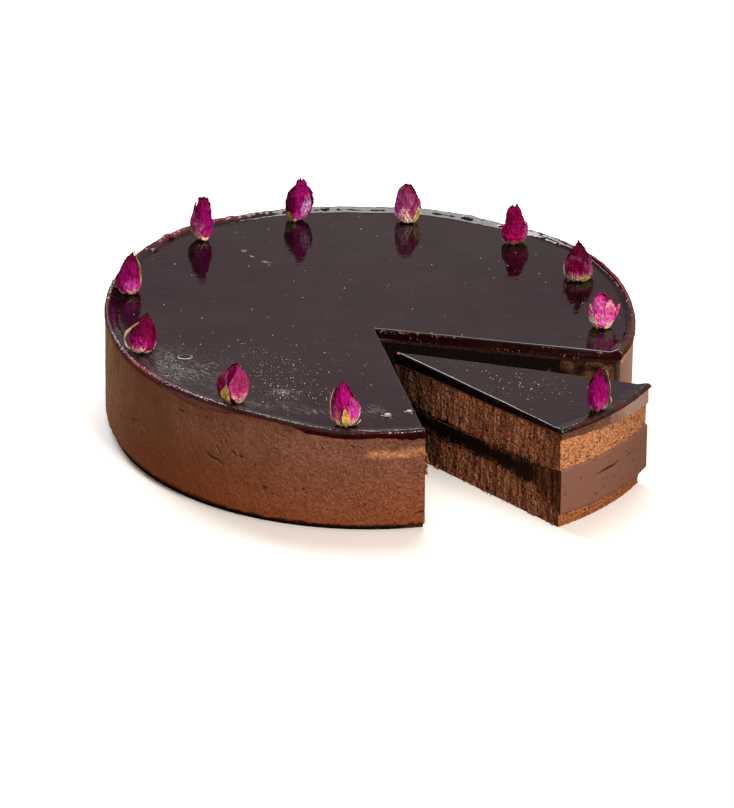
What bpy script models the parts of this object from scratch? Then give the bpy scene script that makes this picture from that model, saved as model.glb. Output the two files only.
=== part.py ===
"""Chocolate torte, 26 cm across.

Two chocolate sponges with a dark mousse between them stand in a coat of lighter mousse, under a
poured mirror glaze with a raised lip. Two of the twelve portions are cut out. One of them is gone,
and the other stands drawn part of the way out of the gap. A dried rosebud marks each portion left.

The origin is on the floor under the middle of the ring, +Z is up, and the gap opens towards the
front right (+X, -Y). Sizes are in millimetres and degrees, and MM turns them to metres.
"""

import math

import bmesh
import bpy
from mathutils import Matrix, Vector

MM = 0.001

# ---- The ring mould ----
RING_RADIUS = 128.2
RING_STEPS = 96
RING_LEAN = 1.1          # the top of the cake stands this far to +X of its foot
MEAN_HEIGHT = 54.0
FLAT_AZIMUTH, FLAT_SPREAD, FLAT_DEPTH = -19.0, 8.0, 2.6    # a flat on the side by the far cut

# Height of the glaze's lip at every 15 degrees, anticlockwise from +X: the top isn't level.
RIM_HEIGHTS = (51.7, 54.4, 55.6, 54.8, 53.5, 54.6, 54.5, 56.0, 57.6, 59.8, 60.6, 59.6,
               58.2, 58.0, 56.6, 56.2, 56.0, 53.6, 51.9, 51.4, 51.0, 50.6, 50.5, 50.6)

# ---- Layers, from the floor up ----
GAP = 0.3                # between one layer's mesh and the next
BASE_TOP = 17.5          # lower sponge
FILLING_TOP = 25.5       # dark mousse filling
TOP_MOUSSE = 1.8         # mousse between the upper sponge and the glaze
GLAZE_MIDDLE = 5.0       # glaze over the middle of the cake
COAT_WALL = 3.0          # mousse on the side
COAT_FOOT = 2.0          # the side coat stops short of the floor
LIP_RISE = 1.6           # the lip over the glaze inside it
LIP_CREST = 2.2          # its crest, in from the side
LIP_FOOT = 6.0           # where it meets the flat glaze, in from the side
LIP_SHOULDER = 1.0       # the drop from the crest to the outer edge
MIDDLE_HEIGHT = 52.6     # the glaze over the origin
TILT_X, TILT_Y = -0.0265, 0.008
FILM, FILM_SWING = 2.6, 0.8           # glaze on the outer edge, thinnest on the left
LEAST_FILM = 0.4
# Where the glaze on the outer edge runs thicker or thinner: azimuth, spread, change.
EDGE_CHANGES = ((-78.0, 7.0, -0.9), (-95.0, 6.0, 1.4), (-110.0, 7.5, -2.9), (-129.0, 7.0, 2.4))
ROWS = (60.0, 112.0)     # radii where a layer's top has a row of points
HAIR = 0.01              # slack in a test of which row of points a radius belongs to
WARP_POWER, EDGE_POWER = 3, 6         # how late the glaze's top, and its underside, turn to the rim


# ---- The cuts ----
CUT_APEX = (3.4, -17.6)
NEAR_CUT, FAR_CUT = -78.05, -10.2     # azimuths of the gap's two walls
CUT_REACH = 220.0
CUT_TOP, CUT_BOTTOM = 90.0, -20.0

# ---- The drawn slice ----
SLICE_RING = (16.4, -18.0)            # where its own ring's middle has moved to
SLICE_TIP = (-3.5, -22.2)             # from that middle
SLICE_NEAR, SLICE_FAR = -47.9, -16.4  # azimuths of its two cut faces
SLICE_RIM = 50.5
SLICE_MIDDLE = 51.0
SLICE_LIP = 0.5
SLICE_GLAZE = 4.6
SLICE_EDGE_GLAZE = 1.8                # glaze at the outer edge
SLICE_SHOULDER = 0.5
SLICE_DIP_POWER, SLICE_EDGE_POWER = 2, 4
FLARE_START = 108.0                   # the filling thickens from this radius out to the side
FLARE_TOP, FLARE_BOTTOM = 29.6, 6.5
SKIRT_NEAR, SKIRT_FAR = 3.0, 7.5      # the mousse band that hangs below the glaze at the side
BASE_INSET, UPPER_INSET = 1.8, 0.9    # how far the sponges stand in from the filling's edge

# ---- Rosebuds ----
BUD_STEPS = 20
BUD_SINK_GAP = 0.3       # between a bud's foot and the glaze
BUD_BELLY = 0.34         # height of the widest ring, as a share of the whole
BUD_LEVELS = (0.0, 0.06, 0.16, 0.34, 0.5, 0.65, 0.78, 0.89, 0.96)
PETAL_STEP = 0.07        # how far a petal's edge stands out
PETALS = 3
SEPALS = 5
SEPAL_STEP = 0.45
SEPAL_REACH = 0.4        # share of the bud's height that the sepals hug
PETAL_TWIST = 1.1        # petal widths that an edge winds round from foot to tip
FOOT_TUCK = 0.7          # how far the foot draws in: 1 would be a point
LEAN_POWER = 1.5

# Each bud: ring (cake or slice), azimuth, radius, height, width, lean to +X, blunt tip, turn.
BUDS = (
    ("cake", 108.3, 118.0, 21.9, 14.0, 3.1, 0.95, 10),
    ("cake", 80.1, 113.6, 19.8, 13.8, -0.2, 0.42, 95),
    ("cake", 50.5, 113.6, 19.8, 13.7, 0.0, 0.42, 200),
    ("cake", 22.5, 110.5, 20.1, 14.4, -0.3, 0.8, 40),
    ("cake", -4.9, 112.2, 17.3, 13.8, -1.0, 0.55, 150),
    ("cake", 172.0, 117.2, 21.2, 13.2, 3.0, 1.1, 260),
    ("cake", 135.5, 117.1, 21.5, 11.6, 1.6, 0.42, 320),
    ("cake", -156.1, 117.6, 19.2, 12.9, 1.9, 0.95, 75),
    ("cake", -122.0, 118.2, 19.0, 14.6, 1.7, 0.8, 185),
    ("cake", -95.4, 118.4, 21.5, 13.2, -1.5, 0.95, 230),
    ("slice", -42.7, 120.6, 18.8, 10.5, 0.5, 0.8, 130),
)

# ---- Finishes: colour (linear), roughness, metallic ----
FINISHES = {
    "sponge": ((0.105, 0.040, 0.020, 1.0), 0.9, 0.0),
    "filling": ((0.016, 0.005, 0.003, 1.0), 0.6, 0.0),
    "mousse": ((0.200, 0.080, 0.042, 1.0), 0.55, 0.0),
    "glaze": ((0.020, 0.003, 0.005, 1.0), 0.05, 0.0),
    "rose": ((0.330, 0.010, 0.140, 1.0), 0.7, 0.0),
}


# ---- The cake's own surfaces ----

def bump(angle, middle, spread):
    """A smooth hump of height 1 round one azimuth."""
    away = (angle - middle + 180.0) % 360.0 - 180.0
    return math.exp(-(away / spread) ** 2)


def rim_height(angle):
    """Height of the lip: a smooth closed curve through RIM_HEIGHTS."""
    count = len(RIM_HEIGHTS)
    place = (angle % 360.0) * count / 360.0
    first = int(place)
    t = place - first
    a, b, c, d = (RIM_HEIGHTS[(first + k - 1) % count] for k in range(4))
    return 0.5 * (2 * b + (c - a) * t + (2 * a - 5 * b + 4 * c - d) * t ** 2
                  + (3 * b - a - 3 * c + d) * t ** 3)


def edge_glaze(angle):
    """Thickness of glaze on the outer edge: a film where the rim is high, a band where it is low."""
    film = FILM + FILM_SWING * math.cos(math.radians(angle))
    film += sum(change * bump(angle, middle, spread) for middle, spread, change in EDGE_CHANGES)
    return max(film, LEAST_FILM)


def wall_radius(angle):
    return RING_RADIUS - FLAT_DEPTH * bump(angle, FLAT_AZIMUTH, FLAT_SPREAD)


def glaze_flat(radius, angle):
    """Top of the glaze inside the lip: a tilted plane that warps to follow the rim."""
    turn = math.radians(angle)

    def plane(r):
        return MIDDLE_HEIGHT + r * (TILT_X * math.cos(turn) + TILT_Y * math.sin(turn))

    edge = rim_height(angle) - LIP_RISE
    return plane(radius) + (edge - plane(RING_RADIUS)) * (radius / RING_RADIUS) ** WARP_POWER


def glaze_top(radius, angle):
    """The glaze with its lip, by the distance in from the side."""
    inward = RING_RADIUS - radius
    if inward >= LIP_FOOT - HAIR:
        return glaze_flat(radius, angle)
    if inward >= LIP_CREST - HAIR:
        climb = (LIP_FOOT - inward) / (LIP_FOOT - LIP_CREST)
        flat = glaze_flat(radius, angle)
        return flat + (rim_height(angle) - flat) * climb
    return rim_height(angle) - LIP_SHOULDER * (LIP_CREST - inward) / LIP_CREST


def mousse_top(radius, angle):
    """Top of the mousse, under the glaze."""
    middle = glaze_flat(radius, angle) - GLAZE_MIDDLE
    edge = rim_height(angle) - LIP_SHOULDER - edge_glaze(angle)
    share = (radius / RING_RADIUS) ** EDGE_POWER
    return middle + (edge - middle) * share


def sponge_top(radius, angle):
    return mousse_top(radius, angle) - TOP_MOUSSE


# ---- The slice's own surfaces ----

def corner_azimuth(direction):
    """Azimuth, about the slice's ring, of the corner where a cut from its tip meets the side."""
    turn = math.radians(direction)
    along = SLICE_TIP[0] * math.cos(turn) + SLICE_TIP[1] * math.sin(turn)
    tip_squared = SLICE_TIP[0] ** 2 + SLICE_TIP[1] ** 2
    reach = -along + math.sqrt(along ** 2 + RING_RADIUS ** 2 - tip_squared)
    return math.degrees(math.atan2(SLICE_TIP[1] + reach * math.sin(turn),
                                   SLICE_TIP[0] + reach * math.cos(turn)))


def slice_share(angle):
    """0 at the slice's near corner, 1 at its far corner."""
    near, far = corner_azimuth(SLICE_NEAR), corner_azimuth(SLICE_FAR)
    return min(1.0, max(0.0, (angle - near) / (far - near)))


def slice_flat(radius, angle):
    dip = SLICE_RIM - SLICE_LIP - SLICE_MIDDLE
    return SLICE_MIDDLE + dip * (radius / RING_RADIUS) ** SLICE_DIP_POWER


def slice_top(radius, angle):
    inward = RING_RADIUS - radius
    if inward >= LIP_FOOT - HAIR:
        return slice_flat(radius, angle)
    if inward >= LIP_CREST - HAIR:
        return slice_flat(radius, angle) + SLICE_LIP * (LIP_FOOT - inward) / (LIP_FOOT - LIP_CREST)
    return SLICE_RIM - SLICE_SHOULDER * (LIP_CREST - inward) / LIP_CREST


def slice_mousse_top(radius, angle):
    thinning = (SLICE_GLAZE - SLICE_EDGE_GLAZE) * (radius / RING_RADIUS) ** SLICE_EDGE_POWER
    return slice_flat(radius, angle) - SLICE_GLAZE + thinning


def slice_sponge_top(radius, angle):
    return slice_mousse_top(radius, angle) - TOP_MOUSSE


def slice_skirt(radius, angle):
    """Lower edge of the mousse band at the slice's side: it deepens towards the far corner."""
    drop = SKIRT_NEAR + (SKIRT_FAR - SKIRT_NEAR) * slice_share(angle)
    return slice_mousse_top(RING_RADIUS, angle) - drop


def flare(radius, inner, outer):
    """A level that runs flat, then slopes to its height at the side."""
    share = min(1.0, max(0.0, (radius - FLARE_START) / (RING_RADIUS - FLARE_START)))
    return inner + (outer - inner) * share


def flare_top(radius, angle):
    return flare(radius, FILLING_TOP, FLARE_TOP)


def flare_bottom(radius, angle):
    return flare(radius, BASE_TOP, FLARE_BOTTOM)


# ---- Making solids ----

LADDER = 10.0            # step in height between the points of a profile while it is turned
WELD = 0.001             # points closer than this are one
SHARP_ANGLE = 40.0


def finish(name):
    """A Principled material from FINISHES."""
    if name in bpy.data.materials:
        return bpy.data.materials[name]
    colour, roughness, metallic = FINISHES[name]
    material = bpy.data.materials.new(name)
    material.use_nodes = True
    shader = material.node_tree.nodes["Principled BSDF"]
    shader.inputs["Base Color"].default_value = colour
    shader.inputs["Roughness"].default_value = roughness
    shader.inputs["Metallic"].default_value = metallic
    return material


def turn_profile(name, points, steps):
    """Mesh of revolution from (radius, height) points that run down the outer side."""
    mesh = bpy.data.meshes.new(name)
    corners = [(r * MM, 0.0, z * MM) for r, z in points]
    mesh.from_pydata(corners, [(i, i + 1) for i in range(len(points) - 1)], [])
    line = bpy.data.objects.new(name, mesh)
    bpy.context.scene.collection.objects.link(line)
    screw = line.modifiers.new("turn", "SCREW")
    screw.steps = screw.render_steps = steps
    screw.use_merge_vertices = True
    screw.merge_threshold = WELD * MM
    bpy.context.view_layer.update()
    turned = bpy.data.meshes.new_from_object(line.evaluated_get(bpy.context.evaluated_depsgraph_get()))
    bpy.data.objects.remove(line)
    form = bmesh.new()
    form.from_mesh(turned)
    bmesh.ops.remove_doubles(form, verts=form.verts, dist=WELD * MM)
    bmesh.ops.recalc_face_normals(form, faces=form.faces)
    form.to_mesh(turned)
    form.free()
    turned.name = name
    return turned


def add_part(name, mesh, material, parts):
    mesh.materials.clear()
    mesh.materials.append(finish(material))
    mesh.shade_smooth()
    mesh.set_sharp_from_angle(angle=math.radians(SHARP_ANGLE))
    part = bpy.data.objects.new(name, mesh)
    parts.objects.link(part)
    return part


def layer(name, material, parts, sides, on_slice=False):
    """A turned disc. Its profile points are (radius, surface, lift): each takes its height from
    a surface function, or from the floor where that is None, plus the lift. The disc is turned
    with its points a step apart in height, which tells them apart, and then takes its form."""
    mesh = turn_profile(name, [(row[0], -LADDER * index) for index, row in enumerate(sides)],
                        RING_STEPS)
    for corner in mesh.vertices:
        radius, surface, lift = sides[round(-corner.co.z / MM / LADDER)]
        angle = math.degrees(math.atan2(corner.co.y, corner.co.x))
        height = (surface(radius, angle) if surface else 0.0) + lift
        stretch, shift = 1.0, 0.0
        if not on_slice:
            stretch = wall_radius(angle) / RING_RADIUS if radius > ROWS[-1] else 1.0
            shift = RING_LEAN * height / MEAN_HEIGHT
        turn = math.radians(angle)
        corner.co = Vector(((radius * stretch * math.cos(turn) + shift) * MM,
                            radius * stretch * math.sin(turn) * MM, height * MM))
    return add_part(name, mesh, material, parts)


def prism(name, outline, cutters, place=(0.0, 0.0)):
    """A closed upright prism over a flat outline, used as a cutter."""
    curve = bpy.data.curves.new(name, "CURVE")
    curve.dimensions = "2D"
    curve.fill_mode = "BOTH"
    curve.extrude = (CUT_TOP - CUT_BOTTOM) / 2 * MM
    spline = curve.splines.new("POLY")
    spline.points.add(len(outline) - 1)
    for point, (x, y) in zip(spline.points, outline):
        point.co = (x * MM, y * MM, 0.0, 1.0)
    spline.use_cyclic_u = True
    flat = bpy.data.objects.new(name, curve)
    bpy.context.scene.collection.objects.link(flat)
    bpy.context.view_layer.update()
    mesh = bpy.data.meshes.new_from_object(flat.evaluated_get(bpy.context.evaluated_depsgraph_get()))
    bpy.data.objects.remove(flat)
    form = bmesh.new()
    form.from_mesh(mesh)
    bmesh.ops.remove_doubles(form, verts=form.verts, dist=WELD * MM)
    bmesh.ops.recalc_face_normals(form, faces=form.faces)
    bmesh.ops.translate(form, verts=form.verts, vec=(0.0, 0.0, (CUT_TOP + CUT_BOTTOM) / 2 * MM))
    form.to_mesh(mesh)
    form.free()
    cutter = bpy.data.objects.new(name, mesh)
    cutter.location = (place[0] * MM, place[1] * MM, 0.0)
    cutter.hide_render = True
    cutter.display_type = "WIRE"
    cutters.objects.link(cutter)
    return cutter


def ray_end(start, azimuth):
    turn = math.radians(azimuth)
    return (start[0] + CUT_REACH * math.cos(turn), start[1] + CUT_REACH * math.sin(turn))


def cut(part, cutter, operation):
    boolean = part.modifiers.new("cut", "BOOLEAN")
    boolean.operation = operation
    boolean.solver = "EXACT"
    boolean.object = cutter


# ---- The cake ----

def make_cake(parts, cutters):
    wedge = prism("gap_cutter", [CUT_APEX, ray_end(CUT_APEX, NEAR_CUT), ray_end(CUT_APEX, FAR_CUT)],
                  cutters)
    side = RING_RADIUS
    wall = RING_RADIUS - COAT_WALL
    snug = wall - GAP
    half = GAP / 2
    layers = (
        layer("cake_base_sponge", "sponge", parts, (
            (0.0, None, BASE_TOP - half), (ROWS[0], None, BASE_TOP - half),
            (snug, None, BASE_TOP - half), (snug, None, 0.0),
            (ROWS[0], None, 0.0), (0.0, None, 0.0))),
        layer("cake_filling", "filling", parts, (
            (0.0, None, FILLING_TOP - half), (ROWS[0], None, FILLING_TOP - half),
            (snug, None, FILLING_TOP - half), (snug, None, BASE_TOP + half),
            (ROWS[0], None, BASE_TOP + half), (0.0, None, BASE_TOP + half))),
        layer("cake_upper_sponge", "sponge", parts, (
            (0.0, sponge_top, -half), (ROWS[0], sponge_top, -half), (ROWS[1], sponge_top, -half),
            (snug, sponge_top, -half), (snug, None, FILLING_TOP + half),
            (ROWS[0], None, FILLING_TOP + half), (0.0, None, FILLING_TOP + half))),
        layer("cake_coat", "mousse", parts, (
            (0.0, mousse_top, -half), (ROWS[0], mousse_top, -half), (ROWS[1], mousse_top, -half),
            (side, mousse_top, -half), (side, None, COAT_FOOT),
            (wall, None, COAT_FOOT), (wall, sponge_top, half), (ROWS[1], sponge_top, half),
            (ROWS[0], sponge_top, half), (0.0, sponge_top, half))),
        layer("cake_glaze", "glaze", parts, (
            (0.0, glaze_top, 0.0), (ROWS[0], glaze_top, 0.0), (ROWS[1], glaze_top, 0.0),
            (side - LIP_FOOT, glaze_top, 0.0), (side - LIP_CREST, glaze_top, 0.0),
            (side, glaze_top, 0.0), (side, mousse_top, half), (ROWS[1], mousse_top, half),
            (ROWS[0], mousse_top, half), (0.0, mousse_top, half))),
    )
    for part in layers:
        cut(part, wedge, "DIFFERENCE")


# ---- The slice ----

def make_slice(parts, cutters):
    sector = prism("slice_cutter", [SLICE_TIP, ray_end(SLICE_TIP, SLICE_NEAR),
                                    ray_end(SLICE_TIP, SLICE_FAR)], cutters, SLICE_RING)
    side = RING_RADIUS
    base = RING_RADIUS - BASE_INSET
    upper = RING_RADIUS - UPPER_INSET
    shelf = upper - COAT_WALL
    half = GAP / 2
    layers = (
        layer("slice_base_sponge", "sponge", parts, (
            (0.0, flare_bottom, -half), (FLARE_START, flare_bottom, -half),
            (base, flare_bottom, -half), (base, None, 0.0), (0.0, None, 0.0)), True),
        layer("slice_filling", "filling", parts, (
            (0.0, flare_top, -half), (FLARE_START, flare_top, -half),
            (side, flare_top, -half), (side, flare_bottom, half),
            (FLARE_START, flare_bottom, half), (0.0, flare_bottom, half)), True),
        layer("slice_upper_sponge", "sponge", parts, (
            (0.0, slice_sponge_top, -half), (ROWS[0], slice_sponge_top, -half),
            (ROWS[1], slice_sponge_top, -half), (shelf, slice_sponge_top, -half),
            (shelf, slice_skirt, -GAP), (upper, slice_skirt, -GAP), (upper, flare_top, half),
            (FLARE_START, flare_top, half), (0.0, flare_top, half)), True),
        layer("slice_top_mousse", "mousse", parts, (
            (0.0, slice_mousse_top, -half), (ROWS[0], slice_mousse_top, -half),
            (ROWS[1], slice_mousse_top, -half), (side, slice_mousse_top, -half),
            (side, slice_skirt, 0.0), (shelf + GAP, slice_skirt, 0.0),
            (shelf + GAP, slice_sponge_top, half), (ROWS[1], slice_sponge_top, half),
            (ROWS[0], slice_sponge_top, half), (0.0, slice_sponge_top, half)), True),
        layer("slice_glaze", "glaze", parts, (
            (0.0, slice_top, 0.0), (ROWS[0], slice_top, 0.0), (ROWS[1], slice_top, 0.0),
            (side - LIP_FOOT, slice_top, 0.0), (side - LIP_CREST, slice_top, 0.0),
            (side, slice_top, 0.0), (side, slice_mousse_top, half),
            (ROWS[1], slice_mousse_top, half), (ROWS[0], slice_mousse_top, half),
            (0.0, slice_mousse_top, half)), True),
    )
    for part in layers:
        part.location = (SLICE_RING[0] * MM, SLICE_RING[1] * MM, 0.0)
        cut(part, sector, "INTERSECT")


# ---- Rosebuds ----

def bud_radius(level, blunt):
    """Half width of a bud at a share of its height, as a share of its full half width."""
    if level < BUD_BELLY:
        return math.sqrt(1.0 - FOOT_TUCK * (1.0 - level / BUD_BELLY) ** 2)
    return (1.0 - ((level - BUD_BELLY) / (1.0 - BUD_BELLY)) ** 2) ** blunt


def make_bud(number, row, parts):
    ring, azimuth, radius, height, width, lean, blunt, turn = row
    profile = [(0.0, height)]
    profile += [(width / 2 * bud_radius(level, blunt), level * height)
                for level in reversed(BUD_LEVELS)]
    profile.append((0.0, 0.0))
    name = "rosebud_%02d" % number
    mesh = turn_profile(name, profile, BUD_STEPS)
    for corner in mesh.vertices:
        level = corner.co.z / MM / height
        around = math.atan2(corner.co.y, corner.co.x) / math.tau
        out = corner.co.xy.length / MM
        if out > HAIR:
            petal = (PETALS * around + PETAL_TWIST * level) % 1.0 - 0.5
            swell = 1.0 + PETAL_STEP * petal * math.sin(math.pi * level)
            sepal = SEPAL_STEP * max(0.0, 1.0 - level / SEPAL_REACH)
            hug = max(0.0, math.cos(math.tau * SEPALS * around)) if level > 0.0 else 0.0
            scale = swell + sepal * hug / out
            corner.co.x *= scale
            corner.co.y *= scale
    mesh.transform(Matrix.Rotation(math.radians(turn), 4, "Z"))
    for corner in mesh.vertices:
        corner.co.x += lean * MM * (corner.co.z / MM / height) ** LEAN_POWER
    middle = (RING_LEAN, 0.0) if ring == "cake" else SLICE_RING
    rise = glaze_flat(radius, azimuth) if ring == "cake" else slice_flat(radius, azimuth)
    spot = math.radians(azimuth)
    bud = add_part(name, mesh, "rose", parts)
    bud.location = ((middle[0] + radius * math.cos(spot)) * MM,
                    (middle[1] + radius * math.sin(spot)) * MM, (rise + BUD_SINK_GAP) * MM)


# ---- Build ----

for old in list(bpy.data.objects):
    bpy.data.objects.remove(old)

torte = bpy.data.collections.new("chocolate_torte")
knives = bpy.data.collections.new("cutters")
bpy.context.scene.collection.children.link(torte)
bpy.context.scene.collection.children.link(knives)

make_cake(torte, knives)
make_slice(torte, knives)
for index, bud_row in enumerate(BUDS, start=1):
    make_bud(index, bud_row, torte)
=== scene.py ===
import math
from itertools import product

import bmesh
import bpy
import numpy as np
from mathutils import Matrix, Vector


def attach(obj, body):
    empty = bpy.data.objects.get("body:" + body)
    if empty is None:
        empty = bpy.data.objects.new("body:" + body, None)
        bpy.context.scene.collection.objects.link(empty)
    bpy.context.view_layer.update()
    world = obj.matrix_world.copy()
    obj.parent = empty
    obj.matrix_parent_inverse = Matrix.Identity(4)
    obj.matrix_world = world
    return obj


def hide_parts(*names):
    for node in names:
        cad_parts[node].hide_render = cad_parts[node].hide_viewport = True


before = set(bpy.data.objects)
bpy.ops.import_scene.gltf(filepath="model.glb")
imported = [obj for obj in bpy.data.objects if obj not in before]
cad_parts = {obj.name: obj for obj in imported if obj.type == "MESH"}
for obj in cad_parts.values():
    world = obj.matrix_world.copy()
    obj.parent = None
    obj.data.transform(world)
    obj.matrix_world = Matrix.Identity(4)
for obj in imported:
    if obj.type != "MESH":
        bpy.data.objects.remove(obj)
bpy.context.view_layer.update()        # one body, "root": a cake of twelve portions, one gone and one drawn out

MM = 0.001


# ---- Camera ----
# A long lens 1.9 m away looks down on the cake by 26 degrees, as for a catalogue picture.
CAMERA_PLACE = (-0.45, -1759.4, 854.6)   # millimetres
CAMERA_DOWN = 25.81
FOCAL_PIXELS, FRAME_PIXELS = 4000.0, 808.0
SENSOR = 36.0

camera = bpy.data.objects.new("camera", bpy.data.cameras.new("camera"))
bpy.context.scene.collection.objects.link(camera)
camera.data.sensor_width = SENSOR
camera.data.lens = SENSOR * FOCAL_PIXELS / FRAME_PIXELS
camera.data.clip_start = 0.1
camera.location = [c * MM for c in CAMERA_PLACE]
camera.rotation_euler = (math.radians(90.0 - CAMERA_DOWN), 0.0, 0.0)
bpy.context.scene.camera = camera
bpy.context.scene.view_settings.view_transform = "Standard"


# ---- Studio ----
# A pale sweep of paper under the cake, and a tent round it that is brighter at the right front
# than at the left. Two soft boxes over the back draw the white lines on the glaze, and a key light
# warms the right front. The paper looks white, but gives back a dim warm light, like a table's.
PAPER, PAPER_BOUNCE = "F6F5F3", "8A6440"
PAPER_ROUGH, PAPER_SHINE = 0.9, 0.1
FLOOR_RADIUS = 6.0
TENT_DIM, TENT_BRIGHT = "665F61", "D2C8C0"
TENT_STRENGTH = 1.32
BRIGHT_SIDE = (0.95, -0.31, 0.0)
PANEL, PANEL_PLACE = "B4959C", (0.0, 0.743, 0.669)    # a pinkish panel high behind, and its direction
PANEL_EDGES = (0.93, 0.995)          # cosines of the angles where it fades out and is full
KEY_TINT, BOX_TINT = "FFF3E6", "FFFFFF"
SOFT_BOXES = (
    # name, place (m), width and depth (m), watts, tint
    ("overhead", (0.0, 0.62, 1.5), (0.95, 0.75), 17.0, BOX_TINT),
    ("back_left", (-0.95, 1.15, 1.45), (0.7, 0.9), 26.0, BOX_TINT),
    ("key", (0.95, -1.60, 1.20), (0.6, 0.6), 41.0, KEY_TINT),
)
AIM = (0.0, 0.0, 0.03)               # where the soft boxes point (m)


def linear(code, alpha=1.0):
    """An sRGB hex colour as linear red, green, blue and alpha."""
    parts = [int(code[k:k + 2], 16) / 255.0 for k in (0, 2, 4)]
    return tuple(c / 12.92 if c <= 0.04045 else ((c + 0.055) / 1.055) ** 2.4 for c in parts) + (alpha,)


def feed(tree, node, inputs):
    """Sets sockets of a node, each to a value or to another node's output."""
    for socket, value in inputs.items():
        if isinstance(value, bpy.types.NodeSocket):
            tree.links.new(value, node.inputs[socket])
        else:
            node.inputs[socket].default_value = value


def add_node(tree, kind, inputs=None, **settings):
    """Adds a node. settings are its properties, and inputs its sockets: a value or an output."""
    made = tree.nodes.new(kind)
    for name, value in settings.items():
        setattr(made, name, value)
    feed(tree, made, inputs or {})
    return made


def new_material(name):
    """A new material, its node tree and its shader."""
    made = bpy.data.materials.new(name)
    made.use_nodes = True
    return made, made.node_tree, made.node_tree.nodes["Principled BSDF"]


floor_mesh = bpy.data.meshes.new("paper_floor")
with_floor = bmesh.new()
bmesh.ops.create_circle(with_floor, cap_ends=True, segments=64, radius=FLOOR_RADIUS)
with_floor.to_mesh(floor_mesh)
with_floor.free()
# Matt paper. Only the camera sees it white: light that bounces off it is dim and warm.
paper, tree, shader = new_material("matt_paper")
seen = add_node(tree, "ShaderNodeLightPath").outputs["Is Camera Ray"]
given = add_node(tree, "ShaderNodeMix", {0: seen, 6: linear(PAPER_BOUNCE), 7: linear(PAPER)},
                 data_type="RGBA")
feed(tree, shader, {"Base Color": given.outputs[2], "Roughness": PAPER_ROUGH,
                    "Specular IOR Level": PAPER_SHINE})
floor_mesh.materials.append(paper)
floor = bpy.data.objects.new("paper_floor", floor_mesh)
bpy.context.scene.collection.objects.link(floor)

tent = bpy.data.worlds.new("light_tent")
tent.use_nodes = True
sky = tent.node_tree
around = add_node(sky, "ShaderNodeTexCoord").outputs["Generated"]
tone = linear(TENT_DIM)
for way, (start, full), colour in ((BRIGHT_SIDE, (-1.0, 1.0), TENT_BRIGHT),
                                   (PANEL_PLACE, PANEL_EDGES, PANEL)):
    toward = add_node(sky, "ShaderNodeVectorMath", {0: around, 1: way}, operation="DOT_PRODUCT")
    share = add_node(sky, "ShaderNodeMapRange", {0: toward.outputs["Value"], 1: start, 2: full})
    tone = add_node(sky, "ShaderNodeMix", {0: share.outputs[0], 6: tone, 7: linear(colour)},
                    data_type="RGBA").outputs[2]
feed(sky, sky.nodes["Background"], {"Color": tone, "Strength": TENT_STRENGTH})
bpy.context.scene.world = tent

for name, place, size, watts, tint in SOFT_BOXES:
    lamp = bpy.data.lights.new(name, "AREA")
    lamp.shape = "RECTANGLE"
    lamp.size, lamp.size_y = size
    lamp.energy = watts
    lamp.color = linear(tint)[:3]
    box = bpy.data.objects.new(name, lamp)
    bpy.context.scene.collection.objects.link(box)
    box.location = place
    box.rotation_euler = (Vector(AIM) - Vector(place)).to_track_quat("-Z", "Y").to_euler()


# ---- Mirror glaze on the cake ----
# Cocoa and sugar glaze with gelatine, poured over the frozen cake inside its ring. It sets to a
# wet gloss about 5 mm deep and stands up in a thin lip round the ring, where the light that shows
# through it is painted on as crimson. A hot knife has rounded its edge along both cuts.
RING_RADIUS = 128.2
RING_LEAN = 1.1 / 54.0               # the cake leans this far to +X for each mm of height
FLATTENED = (-19.0, 8.0, 2.6)        # where its wall is pressed in: azimuth, spread, depth
TOP = 54.0                           # a mean height, for what doesn't need the true one
# Height of the lip every 15 degrees, and where it departs from that: azimuth, spread, rise.
RIM_HEIGHTS = (51.7, 54.4, 55.6, 54.8, 53.5, 54.6, 54.5, 56.0, 57.6, 59.8, 60.6, 59.6,
               58.2, 58.0, 56.6, 56.2, 56.0, 53.6, 51.9, 51.4, 51.0, 50.6, 50.5, 50.6)
RIM_CHANGES = ((-98.0, 6.0, -1.1), (-77.0, 5.0, 0.5))
# The lip's rise over the flat, how far in its crest and its foot lie, and how far down the mousse.
LIP_RISE, LIP_CREST, LIP_FOOT, LIP_SHOULDER = 1.6, 2.0, 6.2, 1.0
MIDDLE_HEIGHT, TILT_X, TILT_Y = 52.6, -0.0265, 0.008
GLAZE_MIDDLE = 5.0                   # its depth in the middle
# Its depth on the outer edge: the mean, how much more at +X, the least, and where it differs.
FILM, FILM_SWING, LEAST_FILM = 2.6, 0.8, 0.4
EDGE_CHANGES = ((-78.0, 7.0, 1.2), (-96.0, 6.0, 0.2), (-103.0, 3.5, 1.3), (-110.0, 7.5, -2.9),
                (-129.0, 7.0, 2.4))
EDGE_RAGGED = ((0.14, 7.0, 6), (0.12, 2.6, 7))     # noise: height, width of a bump, seed
CUT_APEX = (3.4, -17.6)
FAR_CUT, NEAR_CUT = -10.2, 281.95    # the cake runs anticlockwise from one to the other
KNIFE_ROUND, KNIFE_UNEVEN = 1.1, ((0.35, 7.0, 5),)     # radius that the knife leaves on the edge
# Where the light that comes through the lip is painted on as crimson: azimuth, spread, how much.
# Everywhere it is THIN_LEAST.
THIN_LIPS = ((134.0, 17.0, 1.0), (-148.0, 6.0, 0.6), (-128.0, 14.0, 0.15), (16.0, 24.0, 0.55),
             (175.0, 15.0, 0.12), (-88.0, 12.0, 0.06))
THIN_LEAST = 0.08
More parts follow.
